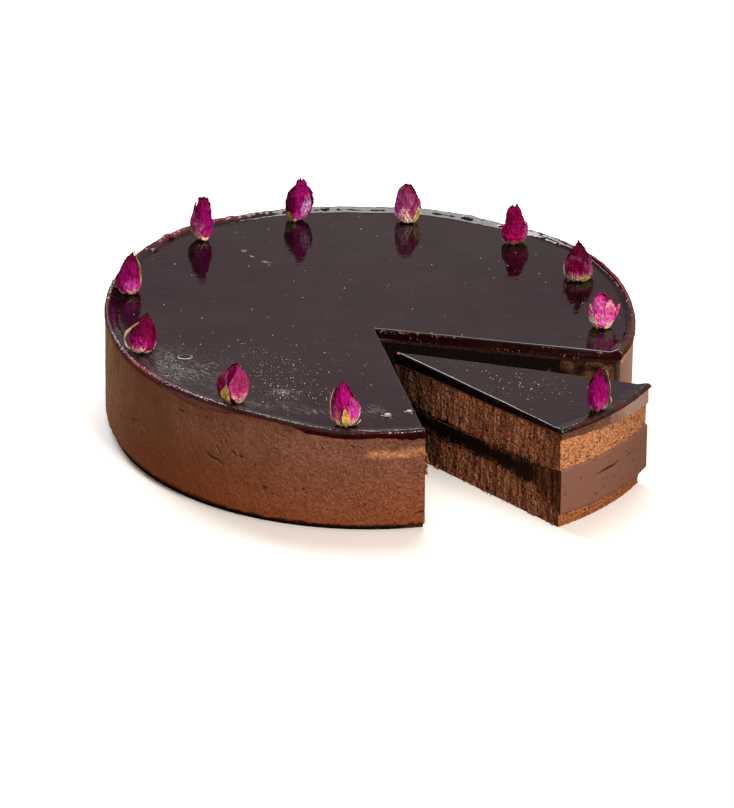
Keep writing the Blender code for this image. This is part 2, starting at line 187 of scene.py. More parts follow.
# Where drops have set on the lip: azimuth, spread, rise (mm), raggedness.
LIP_LUMPS = ((134.0, 17.0, 0.35, 1.0), (143.0, 1.2, 0.8, 0.5), (170.0, 7.0, 0.5, 0.9),
             (66.2, 1.2, 0.6, 0.5), (92.0, 20.0, 0.12, 1.0))
LUMP_RAGGED, LUMP_MOST = ((1.3, 2.4, 45), (0.7, 1.1, 46)), 3.0
# Azimuth, spread and strength of what else changes round the lip: the glaze inside it ripples, it
# is narrower, broader or duller, the mousse shows through it, or it is still wet.
RIPPLED = ((85.0, 25.0, 1.0), (168.0, 12.0, 0.7))
NARROW_LIP, BROAD_LIP, DULL_LIP = (24.0, 17.0, 0.85), (134.0, 20.0), (26.0, 16.0, 0.9)
BARE_LIP, WET_LIP = (-130.0, 13.0), (-145.0, 14.0)
RIPPLE_RISE = 0.25
# Where the glaze has begun to dry white: place, spread along X and Y (mm), how much.
DRIED = ((-96.0, -57.0, 11.0, 11.0, 0.55), (-84.0, -74.0, 13.0, 8.0, 0.7), (-68.0, -88.0, 11.0, 7.0, 0.4),
         (-50.0, -104.0, 15.0, 4.0, 0.5), (-18.0, -107.0, 14.0, 4.0, 0.5), (-39.8, -89.5, 3.5, 2.5, 1.0),
         (2.5, -104.0, 5.0, 4.0, 0.8), (-76.0, -61.0, 10.0, 6.0, 0.25))
OVERLAP = 0.05                       # neighbouring layers run this far into each other
WELD = 2e-7                          # metres
GLAZE_DARK, GLAZE_THIN, GLAZE_HAZE = "0A0103", "660219", "5A4548"
GLAZE_FROST, GLAZE_FILM = "A09A9C", "68484A"
GLAZE_IOR = 1.46
GLAZE_GLOSS, GLAZE_DULL = 0.05, 0.5  # roughness where it is wet, and where it has dried
GLAZE_SHINE, SIDE_SHINE = 0.5, 0.05  # specular level on top, and on the side
# Sizes of its patterns (mm): ripples along X, haze, dried clots, and pebbling where it is wet.
RIPPLES, RIPPLE_DEPTH = (20.0, 6.667, 6.667), 0.17
HAZE, CLOTS, PEBBLES, PEBBLE_SHARE = 31.25, 3.333, 1.25, 3.4
DRIED_RUN, DRIED_LONG = math.radians(-50.0), 2.6   # the way that clots run, and how long they are


def degrees_from(middle, azimuth):
    """The turn from one azimuth to another, -180 to 180."""
    return (azimuth - middle + 180.0) % 360.0 - 180.0


def bump(azimuth, middle, spread, height=1.0):
    """A smooth hump round one azimuth."""
    return height * np.exp(-(degrees_from(middle, azimuth) / spread) ** 2)


def bumps(rows, azimuth):
    """The sum of several humps."""
    return sum(bump(azimuth, *row) for row in rows)


def ease(low, high, value):
    """0 below low, 1 above high, and smooth between them."""
    t = np.clip((value - low) / (high - low), 0.0, 1.0)
    return t * t * (3.0 - 2.0 * t)


def chance(seed, *cells):
    """An even random number from 0 to 1 for each whole-numbered cell."""
    code = np.full(np.shape(cells[0]), seed * 7919 + 17, np.int64)
    for cell in cells:
        code = (code ^ cell) * 0x9E3779B1 & 0xFFFFFFFF
        code = code ^ (code >> 15)
    code = code * 0x85EBCA6B & 0xFFFFFFFF
    return ((code ^ (code >> 13)) & 0xFFFF) / 65535.0


def noise(cell, seed, *place):
    """Smooth noise from -1 to 1 over coordinates in millimetres, with bumps as wide as cell."""
    spots = np.stack(np.broadcast_arrays(*[np.asarray(p, float) for p in place])) / cell + 971.0
    base = np.floor(spots).astype(np.int64)
    share = spots - base
    share = share * share * (3.0 - 2.0 * share)
    total = 0.0
    for corner in product((0, 1), repeat=len(place)):
        weight = 1.0
        for axis, step in enumerate(corner):
            weight = weight * (share[axis] if step else 1.0 - share[axis])
        total = total + weight * chance(seed, *[base[k] + step for k, step in enumerate(corner)])
    return 2.0 * total - 1.0


def relief(rows, *place, seed=0):
    """A rough surface: the sum of noises given as (height, width of a bump, seed)."""
    return sum(height * noise(cell, seed + own, *place) for height, cell, own in rows)


def rim_arc(azimuth):
    """Millimetres round the ring."""
    return azimuth * math.radians(RING_RADIUS)


def rim_height(azimuth):
    """Height of the lip: a smooth closed curve through RIM_HEIGHTS, with RIM_CHANGES."""
    place = (azimuth % 360.0) * len(RIM_HEIGHTS) / 360.0
    first = np.floor(place).astype(int)
    t = place - first
    a, b, c, d = (np.array(RIM_HEIGHTS)[(first + k - 1) % len(RIM_HEIGHTS)] for k in range(4))
    smooth = 0.5 * (2 * b + (c - a) * t + (2 * a - 5 * b + 4 * c - d) * t ** 2
                    + (3 * b - a - 3 * c + d) * t ** 3)
    return smooth + bumps(RIM_CHANGES, azimuth)


def edge_glaze(azimuth):
    """Depth of glaze on the outer edge."""
    film = FILM + FILM_SWING * np.cos(np.radians(azimuth)) + bumps(EDGE_CHANGES, azimuth)
    return np.maximum(film * (1.0 + relief(EDGE_RAGGED, rim_arc(azimuth))), LEAST_FILM)


def cake_wall(azimuth):
    """Radius of the cake's wall."""
    return RING_RADIUS - bump(azimuth, *FLATTENED)


def about_ring(x, y):
    """Radius and azimuth about the cake's middle, at the height of its top."""
    x = x - RING_LEAN * TOP
    return np.hypot(x, y), np.degrees(np.arctan2(y, x))


def glaze_flat(x, y):
    """Top of the glaze inside the lip: a tilted plane that warps to follow the rim."""
    radius, azimuth = about_ring(x, y)
    turn = np.radians(azimuth)
    tilt = TILT_X * np.cos(turn) + TILT_Y * np.sin(turn)
    edge = rim_height(azimuth) - LIP_RISE
    lift = (edge - MIDDLE_HEIGHT - RING_RADIUS * tilt) * (radius / RING_RADIUS) ** 3
    return MIDDLE_HEIGHT + radius * tilt + lift


def mousse_top(x, y):
    """Top of the mousse, under the glaze."""
    radius, azimuth = about_ring(x, y)
    middle = glaze_flat(x, y) - GLAZE_MIDDLE
    edge = rim_height(azimuth) - LIP_SHOULDER - edge_glaze(azimuth)
    return middle + (edge - middle) * (radius / RING_RADIUS) ** 6


def on_ray(apex, direction, far):
    """The point at a level distance from the apex."""
    turn = np.radians(direction)
    return apex[0] + far * np.cos(turn), apex[1] + far * np.sin(turn)


def reach(apex, direction, middle_x, middle_y, wall):
    """Distance from the apex to the round wall along each level direction, in degrees."""
    turn = np.radians(direction)
    ax, ay = apex[0] - middle_x, apex[1] - middle_y
    along = ax * np.cos(turn) + ay * np.sin(turn)
    out = np.full(np.shape(along), RING_RADIUS)
    for _ in range(4):
        azimuth = np.degrees(np.arctan2(ay + out * np.sin(turn), ax + out * np.cos(turn)))
        out = -along + np.sqrt(along ** 2 + wall(azimuth) ** 2 - ax ** 2 - ay ** 2)
    return out


def cake_reach(direction, height):
    """Distance from the cake's cut apex to its wall, at a height."""
    return reach(CUT_APEX, direction, RING_LEAN * height, 0.0, cake_wall)


def rays_between(first, last, step, ends=(0.05, 0.12, 0.25, 0.5)):
    """Azimuths from first to last, closer together at both ends, where the knife went."""
    middle = np.linspace(first + 2 * step, last - 2 * step, int((last - first) / step))
    return np.concatenate(([first], [first + e * 2 * step for e in ends], middle,
                           [last - e * 2 * step for e in reversed(ends)], [last]))


def from_cuts(x, y, apex, cuts):
    """Level distance to the nearer of the two cuts that run out from the apex."""
    dx, dy = x - apex[0], y - apex[1]
    nearest = np.full(np.shape(dx), np.inf)
    for azimuth in cuts:
        turn = math.radians(azimuth)
        off = np.where(dx * math.cos(turn) + dy * math.sin(turn) > 0,
                       np.abs(dy * math.cos(turn) - dx * math.sin(turn)), np.hypot(dx, dy))
        nearest = np.minimum(nearest, off)
    return nearest


def knife_drop(x, y, apex, cuts):
    """How far the glaze's edge has been rounded down beside a cut."""
    size = KNIFE_ROUND * (1.0 + relief(KNIFE_UNEVEN, x, y))
    short = np.clip(1.0 - from_cuts(x, y, apex, cuts) / size, 0.0, 1.0)
    return size * (1.0 - np.sqrt(1.0 - short ** 2))


def solid(name, points, faces, channels=(), sharp=55.0):
    """A closed mesh object from points (mm, with any further channels as attributes) and faces.
    With no channels named, what follows a point is its colour."""
    mesh = bpy.data.meshes.new(name)
    mesh.from_pydata((points[:, :3] * MM).tolist(), [], faces)
    for index, channel in enumerate(channels):
        layer = mesh.attributes.new(channel, "FLOAT", "POINT")
        layer.data.foreach_set("value", points[:, 3 + index].astype(np.float32))
    if not channels:
        layer = mesh.attributes.new("tint", "FLOAT_COLOR", "POINT")
        colour = np.concatenate((np.clip(points[:, 3:], 0.0, 1.0), np.ones((len(points), 1))), axis=1)
        layer.data.foreach_set("color", colour.ravel().astype(np.float32))
    form = bmesh.new()
    form.from_mesh(mesh)
    bmesh.ops.remove_doubles(form, verts=form.verts, dist=WELD)
    loose = [v for v in form.verts if not v.link_faces]
    bmesh.ops.delete(form, geom=loose, context="VERTS")
    bmesh.ops.recalc_face_normals(form, faces=form.faces)
    form.to_mesh(mesh)
    form.free()
    mesh.shade_smooth()
    mesh.set_sharp_from_angle(angle=math.radians(sharp))
    made = bpy.data.objects.new(name, mesh)
    bpy.context.scene.collection.objects.link(made)
    return made


def grid_faces(number, around=False):
    """Quads over a grid of point numbers, closed along its second side if it runs around."""
    if around:
        number = np.concatenate((number, number[:, :1]), axis=1)
    return np.stack((number[:-1, :-1], number[1:, :-1], number[1:, 1:], number[:-1, 1:]),
                    axis=-1).reshape(-1, 4).tolist()


def sector(name, loops, channels=()):
    """A closed sector of cake: loops holds one closed section for each ray from the apex."""
    rays, size = loops.shape[:2]
    number = np.arange(rays * size).reshape(rays, size)
    faces = grid_faces(number) + [number[0].tolist(), number[-1].tolist()]
    return solid(name, loops.reshape(rays * size, -1), faces, channels)


def finish(piece, material, slot, *nodes):
    """Gives a piece its material and its body, and hides the CAD nodes that it stands for."""
    piece.data.materials.append(material)
    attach(piece, "root")
    if nodes:
        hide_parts(*nodes)


# Fractions of the way from the apex to the lip's foot, closer together at the apex. Then steps in
# from the edge (mm), and turns round the bead at the edge.
INNER = np.concatenate(([0.0, 0.0015, 0.004, 0.008, 0.014, 0.022, 0.034], np.linspace(0.05, 1.0, 36)))
INNER_GAP = 1.2                      # the last of them stops this far short of the first step
LIP_STEPS = (8.0, 7.0, 6.2, 5.6, 5.0, 4.5, 4.0, 3.5, 3.0, 2.6, 2.3, 2.0)
BEAD_TURNS = np.radians((78, 66, 54, 42, 30, 18, 6))
BEAD_DROP = 1.7
EDGE_SHARES = (0.3, 0.6, 0.85)       # of the way down the side
UNDER_STEPS, UNDER_SHARES = (0.15, 2.0, 8.0), (0.8, 0.6, 0.4, 0.2, 0.06, 0.0)
# Swells (height, width, seed): on the flat, and others that wake up within SWELL_REACH of the edge.
FLAT_SWELLS, SWELL_REACH = ((0.02, 14.0, 0),), 9.0
LIP_SWELLS = ((0.22, 9.0, 1), (0.16, 3.0, 2), (0.10, 1.5, 3))
BEAD_WANDER = ((0.16, 2.2, 4),)


def glaze_loops(apex, rays, out, level, crest_rise, lower, cuts, seed):
    """Sections of poured glaze. level and lower give its top and its underside at (x, y). Each
    point has its distance in from the edge as its last number."""
    columns = []

    def add(inward, drop=0.0, under=False):
        x, y = on_ray(apex, rays, out - inward)
        if under:
            z = lower(x, y) - OVERLAP
        else:
            z = level(x, y) + crest_rise * ease(LIP_FOOT, LIP_CREST, inward) - drop
            near = np.clip(1.0 - inward / SWELL_REACH, 0.0, 1.0)
            z = z - knife_drop(x, y, apex, cuts) + relief(FLAT_SWELLS, x, y, seed=seed)
            z = z + near * relief(LIP_SWELLS, x, y, seed=seed)
        columns.append(np.stack((x, y, z, np.broadcast_to(inward, x.shape)), axis=-1))

    for share in INNER:
        add(out - share * (out - LIP_STEPS[0] - INNER_GAP))
    for inward in LIP_STEPS:
        add(np.full_like(rays, inward))
    for turn in BEAD_TURNS:
        wander = relief(BEAD_WANDER, out * np.radians(rays), math.degrees(turn) / 8.0, seed=seed)
        add(LIP_CREST * (1.0 - math.cos(turn)) + wander, drop=BEAD_DROP * (1.0 - math.sin(turn)))
    edge = columns[-1]
    foot = lower(edge[:, 0], edge[:, 1])
    for share in EDGE_SHARES:
        low = edge.copy()
        low[:, 2] = edge[:, 2] + (foot - edge[:, 2]) * share
        columns.append(low)
    for inward in UNDER_STEPS:
        add(np.full_like(rays, inward), under=True)
    for share in UNDER_SHARES:
        add(out * (1.0 - share), under=True)
    return np.stack(columns, axis=1)


glaze_rays = rays_between(FAR_CUT, NEAR_CUT, 0.33)
loops = glaze_loops(CUT_APEX, glaze_rays, cake_reach(glaze_rays, TOP), glaze_flat, LIP_RISE,
                    mousse_top, (FAR_CUT, NEAR_CUT), 40)
x, y, z, inward = (loops[..., k] for k in range(4))
radius, azimuth = about_ring(x, y)
arc, below = rim_arc(azimuth), rim_height(azimuth) - z
shown = np.s_[:, :len(INNER) + len(LIP_STEPS) + len(BEAD_TURNS)]
lumps = sum(bump(azimuth, middle, spread, rise) * (1.0 + rough * relief(LUMP_RAGGED, arc))
            for middle, spread, rise, rough in LIP_LUMPS)
waves = bumps(RIPPLED, azimuth) * ease(13.0, 7.0, inward) * ease(0.5, 3.0, inward)
narrow = bump(azimuth, *NARROW_LIP) * ease(LIP_FOOT, LIP_CREST, inward) * ease(1.6, 3.2, inward)
z[shown] += (np.clip(lumps, 0.0, LUMP_MOST) * ease(6.0, 3.2, inward)
             + RIPPLE_RISE * waves * noise(4.0, 48, x / 1.6, y) - LIP_RISE * narrow)[shown]

# What each point is like, 0 to 1. thin: thin, with the light that comes through the lip painted on
# as crimson. film: the mousse shows through the edge. wet: pebbled and still shining. frost: dried
# white. side: the dull outer side.
lip = np.maximum(ease(3.4, 1.4, inward), bump(azimuth, *BROAD_LIP) * ease(4.6, 3.2, inward))
film = bump(azimuth, *BARE_LIP) * ease(1.4, 2.4, below) * lip
thin = (THIN_LEAST + bumps(THIN_LIPS, azimuth)) * lip * (1.0 - film) * (1.0 + 0.6 * noise(2.4, 9, x, y))
on_cut = 0.05 * ease(0.3, 1.6, glaze_flat(x, y) - z)
thin[[0, -1]] = np.maximum(thin, on_cut)[[0, -1]]
wet = 0.7 * ease(2.8, 1.6, inward) + bump(azimuth, *WET_LIP) * ease(100.0, 112.0, radius)
frost = 1.0 - math.prod(1.0 - much * np.exp(-((x - mx) / wide) ** 2 - ((y - my) / deep) ** 2)
                        for mx, my, wide, deep, much in DRIED)
frost = frost * ease(2.5, 4.5, inward)
side = np.maximum(ease(1.0, 2.0, below) * ease(4.0, 3.0, inward),
                  bump(azimuth, *DULL_LIP) * ease(6.0, 4.5, inward) * ease(0.6, 1.4, inward))
GLAZE_CHANNELS = ("thin", "wet", "frost", "film", "side")
cake_glaze = sector("mirror_glaze", np.stack((x, y, z, thin, wet, frost, film, side), axis=-1),
                    GLAZE_CHANNELS)


def pattern_scale(size):
    """A pattern's scale, from its real size in millimetres."""
    return 1.0 / (size * MM)


# Cocoa mirror glaze: poured and set, wet gloss, IOR of a sugar syrup. Nearly black where it is
# deep and crimson where it is thin, with the light that comes through the lip painted on as crimson,
# hazy in slow streaks that the palette knife left, and frosted where it has begun to dry. The
# pebbling is drawn twice as coarse as real, to show.
glaze_material, tree, shader = new_material("poured_mirror_glaze")
spots = add_node(tree, "ShaderNodeTexCoord").outputs["Object"]
thin_here, wet_here, frost_here, film_here, side_here = (
    add_node(tree, "ShaderNodeAttribute", attribute_name=name).outputs["Fac"] for name in GLAZE_CHANNELS)
drawn = add_node(tree, "ShaderNodeMapping", {"Vector": spots, "Scale": [pattern_scale(s) for s in RIPPLES]})
ripple = add_node(tree, "ShaderNodeTexNoise", {"Vector": drawn.outputs[0], "Scale": 1.0, "Detail": 3.0,
                                               "Distortion": 1.0})
cloud = add_node(tree, "ShaderNodeTexNoise", {"Vector": spots, "Scale": pattern_scale(HAZE), "Detail": 5.0,
                                              "Roughness": 0.6, "Distortion": 0.5})
hazed = add_node(tree, "ShaderNodeMapRange", {0: cloud.outputs["Fac"], 1: 0.35, 2: 0.7, 3: 0.0, 4: 0.06})
run = add_node(tree, "ShaderNodeMapping", {"Vector": spots, "Rotation": (0.0, 0.0, DRIED_RUN),
                                           "Scale": (DRIED_LONG, 1.0, 1.0)}, vector_type="TEXTURE")
clots = add_node(tree, "ShaderNodeTexNoise", {"Vector": run.outputs[0], "Scale": pattern_scale(CLOTS),
                                              "Detail": 6.0, "Roughness": 0.72, "Distortion": 2.2})
frosted = add_node(tree, "ShaderNodeMapRange", {0: clots.outputs["Fac"], 1: 0.48, 2: 0.68, 3: 0.0, 4: 0.8})
frosted = add_node(tree, "ShaderNodeMath", {0: frosted.outputs[0], 1: frost_here}, operation="MULTIPLY")
tone = linear(GLAZE_DARK)
for share, colour in ((hazed.outputs[0], GLAZE_HAZE), (thin_here, GLAZE_THIN), (film_here, GLAZE_FILM),
                      (frosted.outputs[0], GLAZE_FROST)):
    tone = add_node(tree, "ShaderNodeMix", {0: share, 6: tone, 7: linear(colour)},
                    data_type="RGBA").outputs[2]
dulled = add_node(tree, "ShaderNodeMath", {0: thin_here, 1: 0.45, 2: frosted.outputs[0]},
                  operation="MULTIPLY_ADD")
rough = add_node(tree, "ShaderNodeMapRange", {0: dulled.outputs[0], 3: GLAZE_GLOSS, 4: GLAZE_DULL})
shine = add_node(tree, "ShaderNodeMapRange", {0: side_here, 3: GLAZE_SHINE, 4: SIDE_SHINE})
pebble = add_node(tree, "ShaderNodeTexNoise", {"Vector": spots, "Scale": pattern_scale(PEBBLES),
                                               "Detail": 2.0})
pebbled = add_node(tree, "ShaderNodeMath", {0: pebble.outputs["Fac"], 1: wet_here}, operation="MULTIPLY")
uneven = add_node(tree, "ShaderNodeMath", {0: pebbled.outputs[0], 1: PEBBLE_SHARE, 2: ripple.outputs["Fac"]},
                  operation="MULTIPLY_ADD")
wave = add_node(tree, "ShaderNodeBump", {"Height": uneven.outputs[0], "Strength": 1.0,
                                         "Distance": RIPPLE_DEPTH * MM})
feed(tree, shader, {"Base Color": tone, "Roughness": rough.outputs[0], "Normal": wave.outputs[0],
                    "Specular IOR Level": shine.outputs[0], "IOR": GLAZE_IOR})
finish(cake_glaze, glaze_material, "glaze", "cake_glaze")


# ---- Mousse coat ----
# Chocolate mousse against the ring's plastic film: 3 mm thick on the side and a thin layer under
# the glaze. The film leaves it smooth, with small pits, a few slits and faint upright drips.
COAT_WALL, COAT_FOOT, TOP_MOUSSE = 3.0, 2.0, 1.8
FRONT = (176.0, NEAR_CUT)            # rays to the side that shows: finer there
WALL_ROWS = 84
# Its relief (height, width of a bump, seed), how far in it lies under that, and depths of marks.
COAT_RELIEF = ((0.26, 22.0, 24), (0.14, 7.0, 25), (0.09, 2.2, 26), (0.05, 1.0, 27))
COAT_INSET, PIT_DEPTH, SLIT_DEPTH = 0.30, 0.4, 0.9
# FOOT_SHADED is the ragged edge of the painted shadow along the foot.
FOOT_RAGGED, FOOT_SHADED = ((0.5, 3.2, 28), (0.35, 1.3, 29)), ((0.7, 1.6, 34), (0.5, 0.8, 35))
FOOT_TUCK = 2.2                      # the foot is drawn in this far, under the film's last fold
# Azimuth, spread and strength: where the foot rises, drips run, the film has left it glossy under a
# painted grey sheen, painted shade lies under the lip, and glaze has run down it.
FOOT_RISE, DRIPPED = (-165.0, 35.0, 2.0), (-162.0, 12.0, 0.5)
FILM_AND_SHEEN = ((0.0, 16.0, 0.9), (-172.0, 18.0, 0.4))
SHADED, GLAZE_RUN = (-80.0, 9.0, 0.26), (-113.0, 14.0, 0.55)
# Slits that the film left: azimuth, height, length, tilt (degrees), width (mm).
SLITS = ((-124.3, 26.8, 12.5, -17.0, 0.55), (-123.2, 32.2, 6.5, -50.0, 0.40),
         (-119.6, 32.8, 3.2, -28.0, 0.55), (-117.9, 31.6, 3.0, 4.0, 0.50),
         (-133.5, 45.4, 4.4, 0.0, 0.45), (-79.4, 9.2, 7.0, 11.0, 0.55),
         (-104.0, 20.0, 3.0, 60.0, 0.35), (-151.0, 26.0, 3.5, -10.0, 0.35))
CUT_EDGE_SHADE = 0.98                     # painted shade on the coat's cut edges: how dark
BARE_STREAK = (-84.6, 39.9, 8.0, 1.6)   # azimuth, height, half width in degrees, half height
MOUSSE, MOUSSE_DARK, MOUSSE_BOUNCE_WARM, MOUSSE_BARE = "865C4A", "633F30", "86461E", "CC9068"
MOUSSE_PIT_SHADE, MOUSSE_SHEEN, MOUSSE_STAIN = "1C0A06", "9A8D88", "5A161E"
COAT_ROUGH, FILM_ROUGH, COAT_SHINE, FILM_SHINE = 0.42, 0.3, 0.25, 0.5
# Sizes of its patterns (mm): clouds of tone, grain, spacing of the air holes, creases and depth.
COAT_CLOUDS, COAT_GRAIN, COAT_HOLES, COAT_CREASES, COAT_DENTS = 16.67, 1.25, 4.0, 2.083, 1.2
BOUNCE_FROM, BOUNCE_TO = 40.0, 2.0       # heights between which painted warm bounce light makes the coat warmer
# Along X (mm): where the grain wakes up, and where painted key light on the coat begins and is full.
GRAIN_SIDE, SUNNY_SIDE = (-90.0, 0.0), (-90.0, 30.0)


def slit_depth(azimuth, height, rows):
    """1 in the middle of a slit and 0 outside it."""
    depth = np.zeros(np.shape(azimuth))
    for middle, level, length, tilt, width in rows:
        u = rim_arc(degrees_from(middle, azimuth))
        v = height - level - 0.35 * noise(2.0, 3, u + level)
        along = u * math.cos(math.radians(tilt)) + v * math.sin(math.radians(tilt))
        across = v * math.cos(math.radians(tilt)) - u * math.sin(math.radians(tilt))
        taper = np.clip(1.0 - (2.0 * along / length) ** 2, 0.0, 1.0)
        depth = np.maximum(depth, np.clip(1.15 - np.abs(across) / (width * taper + 1e-6), 0.0, 1.0)
                           * (taper > 0))
    return depth


def shift_along(points, direction, by):
    """Moves points by millimetres along a level direction in degrees."""
    points[..., 0] += by * np.cos(np.radians(direction))
    points[..., 1] += by * np.sin(np.radians(direction))


coat_rays = np.concatenate((rays_between(FAR_CUT, FRONT[0], 0.72)[:-5], rays_between(*FRONT, 0.205)))
columns = []


def coat_point(inward, height):
    """One point of the coat's section on every ray. height is a number, or a surface and a lift."""
    x, y = on_ray(CUT_APEX, coat_rays, cake_reach(coat_rays, TOP) - inward)
    z = height[0](x, y) + height[1] if isinstance(height, tuple) else np.broadcast_to(height, x.shape)
    x, y = on_ray(CUT_APEX, coat_rays, cake_reach(coat_rays, z) - inward)
    columns.append(np.stack((x, y, z), axis=-1))


whole = cake_reach(coat_rays, TOP)
for share in (0.0, 0.1, 0.3, 0.6, 0.9):
    coat_point(whole * (1.0 - share), (mousse_top, 0.0))
coat_point(0.5, (mousse_top, 0.0))
coat_point(0.1, (mousse_top, -0.02))
wall_first = len(columns)
top_edge = columns[-1][:, 2] - 0.25
for share in np.linspace(0.0, 1.0, WALL_ROWS):
    coat_point(0.1, top_edge + (COAT_FOOT - top_edge) * share)
wall_last = len(columns)
coat_point(COAT_WALL - 0.3, COAT_FOOT - 0.3)
coat_point(COAT_WALL, COAT_FOOT)
coat_point(COAT_WALL, 0.5 * TOP)
coat_point(COAT_WALL, (mousse_top, -TOP_MOUSSE))
for share in (0.8, 0.5, 0.15, 0.0):
    coat_point(whole * (1.0 - share), (mousse_top, -TOP_MOUSSE))
loops = np.stack(columns, axis=1)
_, azimuth = about_ring(loops[..., 0], loops[..., 1])
height, arc = loops[..., 2], rim_arc(azimuth)
on_wall = np.zeros(loops.shape[:2])
on_wall[:, wall_first:wall_last] = 1.0

slits = slit_depth(azimuth, height, SLITS)
pits = ease(0.62, 0.86, noise(1.3, 21, arc, height)) * ease(0.1, 0.5, noise(9.0, 22, arc, height))
drips = 0.10 * noise(2.4, 23, arc, height / 9.0) * ease(30.0, 48.0, height)
drips = drips + bump(azimuth, *DRIPPED) * noise(2.0, 30, arc, height / 14.0) * ease(34.0, 46.0, height)
sink = relief(COAT_RELIEF, arc, height) + drips - COAT_INSET - PIT_DEPTH * pits - SLIT_DEPTH * slits
foot = 2.0 + relief(FOOT_RAGGED, arc) + bump(azimuth, *FOOT_RISE)
sink = sink - FOOT_TUCK * ease(foot + 1.6, foot, height)
shift_along(loops, azimuth, np.minimum(sink, 0.0) * on_wall)

# What each point is like, 0 to 1: painted shade in pits and slits, under the lip, along the foot
# and on the cut edges; bare and pale; glossy under the film, with a painted grey sheen; or stained by glaze.
middle, level, half_width, half_height = BARE_STREAK
away = degrees_from(middle, azimuth)
level = level + 0.06 * away + 0.6 * noise(9.0, 31, arc)
thick = half_height * (1.15 + 0.45 * noise(5.0, 32, arc)) * (1.0 - 0.35 * ease(0.0, -9.0, away))
bare = np.clip(1.4 - np.abs(height - level) / thick, 0.0, 1.0) * ease(-half_width, -half_width + 3.5, away)
bare = np.clip(bare * (0.75 + 0.4 * noise(1.6, 33, arc, height)), 0.0, 1.0)
# Painted shade in the pits and slits, under the lip at the front right and along the foot.
pits_and_shade = np.clip(0.6 * pits + slits, 0.0, 1.0)
pits_and_shade = np.maximum(pits_and_shade, bump(azimuth, *SHADED) * ease(37.0, 44.0, height))
pits_and_shade = np.maximum(pits_and_shade, 0.8 * ease(3.2, 2.4, height + relief(FOOT_SHADED, arc))) * on_wall
# Painted shade on both cut edges.
pits_and_shade[[0, -1]] = CUT_EDGE_SHADE
runs = 5.0 + 3.0 * noise(2.4, 36, arc) + 2.0 * noise(0.9, 37, arc, height / 6.0)
stained = bump(azimuth, *GLAZE_RUN) * ease(runs, 0.3 * runs, rim_height(azimuth) - height)
extra = np.stack((pits_and_shade, bare * on_wall, bumps(FILM_AND_SHEEN, azimuth) * on_wall, stained * on_wall), axis=-1)
COAT_CHANNELS = ("pits_and_shade", "bare", "film", "stained")
coat = sector("mousse_coat", np.concatenate((loops, extra), axis=-1), COAT_CHANNELS)

# Chocolate mousse set against film: satin, faintly grainy from air bubbles under a millimetre.
# Painted warm bounce light makes the foot warmer, and a film of glaze has run over a part of it.
# The grain is drawn about twice as coarse as real, to show.
coat_material, tree, shader = new_material("film_set_chocolate_mousse")
spots = add_node(tree, "ShaderNodeTexCoord").outputs["Object"]
place = add_node(tree, "ShaderNodeSeparateXYZ", {0: spots})
pits_and_shade_here, bare_here, film_here, stained_here = (
    add_node(tree, "ShaderNodeAttribute", attribute_name=name).outputs["Fac"] for name in COAT_CHANNELS)
cloud = add_node(tree, "ShaderNodeTexNoise", {"Vector": spots, "Scale": pattern_scale(COAT_CLOUDS),
                                              "Detail": 4.0, "Roughness": 0.6})
grain = add_node(tree, "ShaderNodeTexNoise", {"Vector": spots, "Scale": pattern_scale(COAT_GRAIN),
                                              "Detail": 4.0, "Roughness": 0.75})
clouded = add_node(tree, "ShaderNodeMapRange", {0: cloud.outputs["Fac"], 1: 0.35, 2: 0.68, 3: 0.0, 4: 0.6})
# Painted warm bounce light, strongest at the foot.
low = add_node(tree, "ShaderNodeMapRange", {0: place.outputs["Z"], 1: BOUNCE_FROM * MM, 2: BOUNCE_TO * MM,
                                            3: 0.0, 4: 0.9})
speck = add_node(tree, "ShaderNodeMapRange", {0: grain.outputs["Fac"], 1: 0.42, 2: 0.68, 3: 0.66, 4: 1.55})
rougher = add_node(tree, "ShaderNodeMapRange", {0: place.outputs["X"], 1: GRAIN_SIDE[0] * MM,
                                                2: GRAIN_SIDE[1] * MM, 3: 0.45, 4: 1.0})
flat = add_node(tree, "ShaderNodeMapping", {"Vector": spots, "Scale": (1.0, 1.0, 1.7)})
holes = add_node(tree, "ShaderNodeTexVoronoi", {"Vector": flat.outputs[0],
                                                "Scale": pattern_scale(COAT_HOLES)})
hole = add_node(tree, "ShaderNodeMapRange", {0: holes.outputs["Distance"], 1: 0.17, 2: 0.07})
kept = add_node(tree, "ShaderNodeMapRange", {0: holes.outputs["Color"], 1: 0.58, 2: 0.62})
hole = add_node(tree, "ShaderNodeMath", {0: hole.outputs[0], 1: kept.outputs[0]}, operation="MULTIPLY")
# Painted shade in the air holes.
holed = add_node(tree, "ShaderNodeMath", {0: hole.outputs[0], 1: 0.7}, operation="MULTIPLY")
# Painted key light: the coat's colour lightens towards +X.
sunny = add_node(tree, "ShaderNodeMapRange", {0: place.outputs["X"], 1: SUNNY_SIDE[0] * MM,
                                              2: SUNNY_SIDE[1] * MM, 3: 0.86, 4: 1.14})
tone = linear(MOUSSE)
for share, over, way in (
        (clouded.outputs[0], linear(MOUSSE_DARK), "MIX"), (low.outputs[0], linear(MOUSSE_BOUNCE_WARM), "MIX"),
        (bare_here, linear(MOUSSE_BARE), "MIX"), (rougher.outputs[0], speck.outputs[0], "MULTIPLY"),
        (holed.outputs[0], linear(MOUSSE_PIT_SHADE), "MIX"), (pits_and_shade_here, linear(MOUSSE_PIT_SHADE), "MIX"),
        # Painted grey sheen where the film left the mousse glossy.
        (film_here, linear(MOUSSE_SHEEN), "MIX"), (stained_here, linear(MOUSSE_STAIN), "MIX"),
        (1.0, sunny.outputs[0], "MULTIPLY")):
    tone = add_node(tree, "ShaderNodeMix", {0: share, 6: tone, 7: over}, data_type="RGBA",
                    blend_type=way).outputs[2]
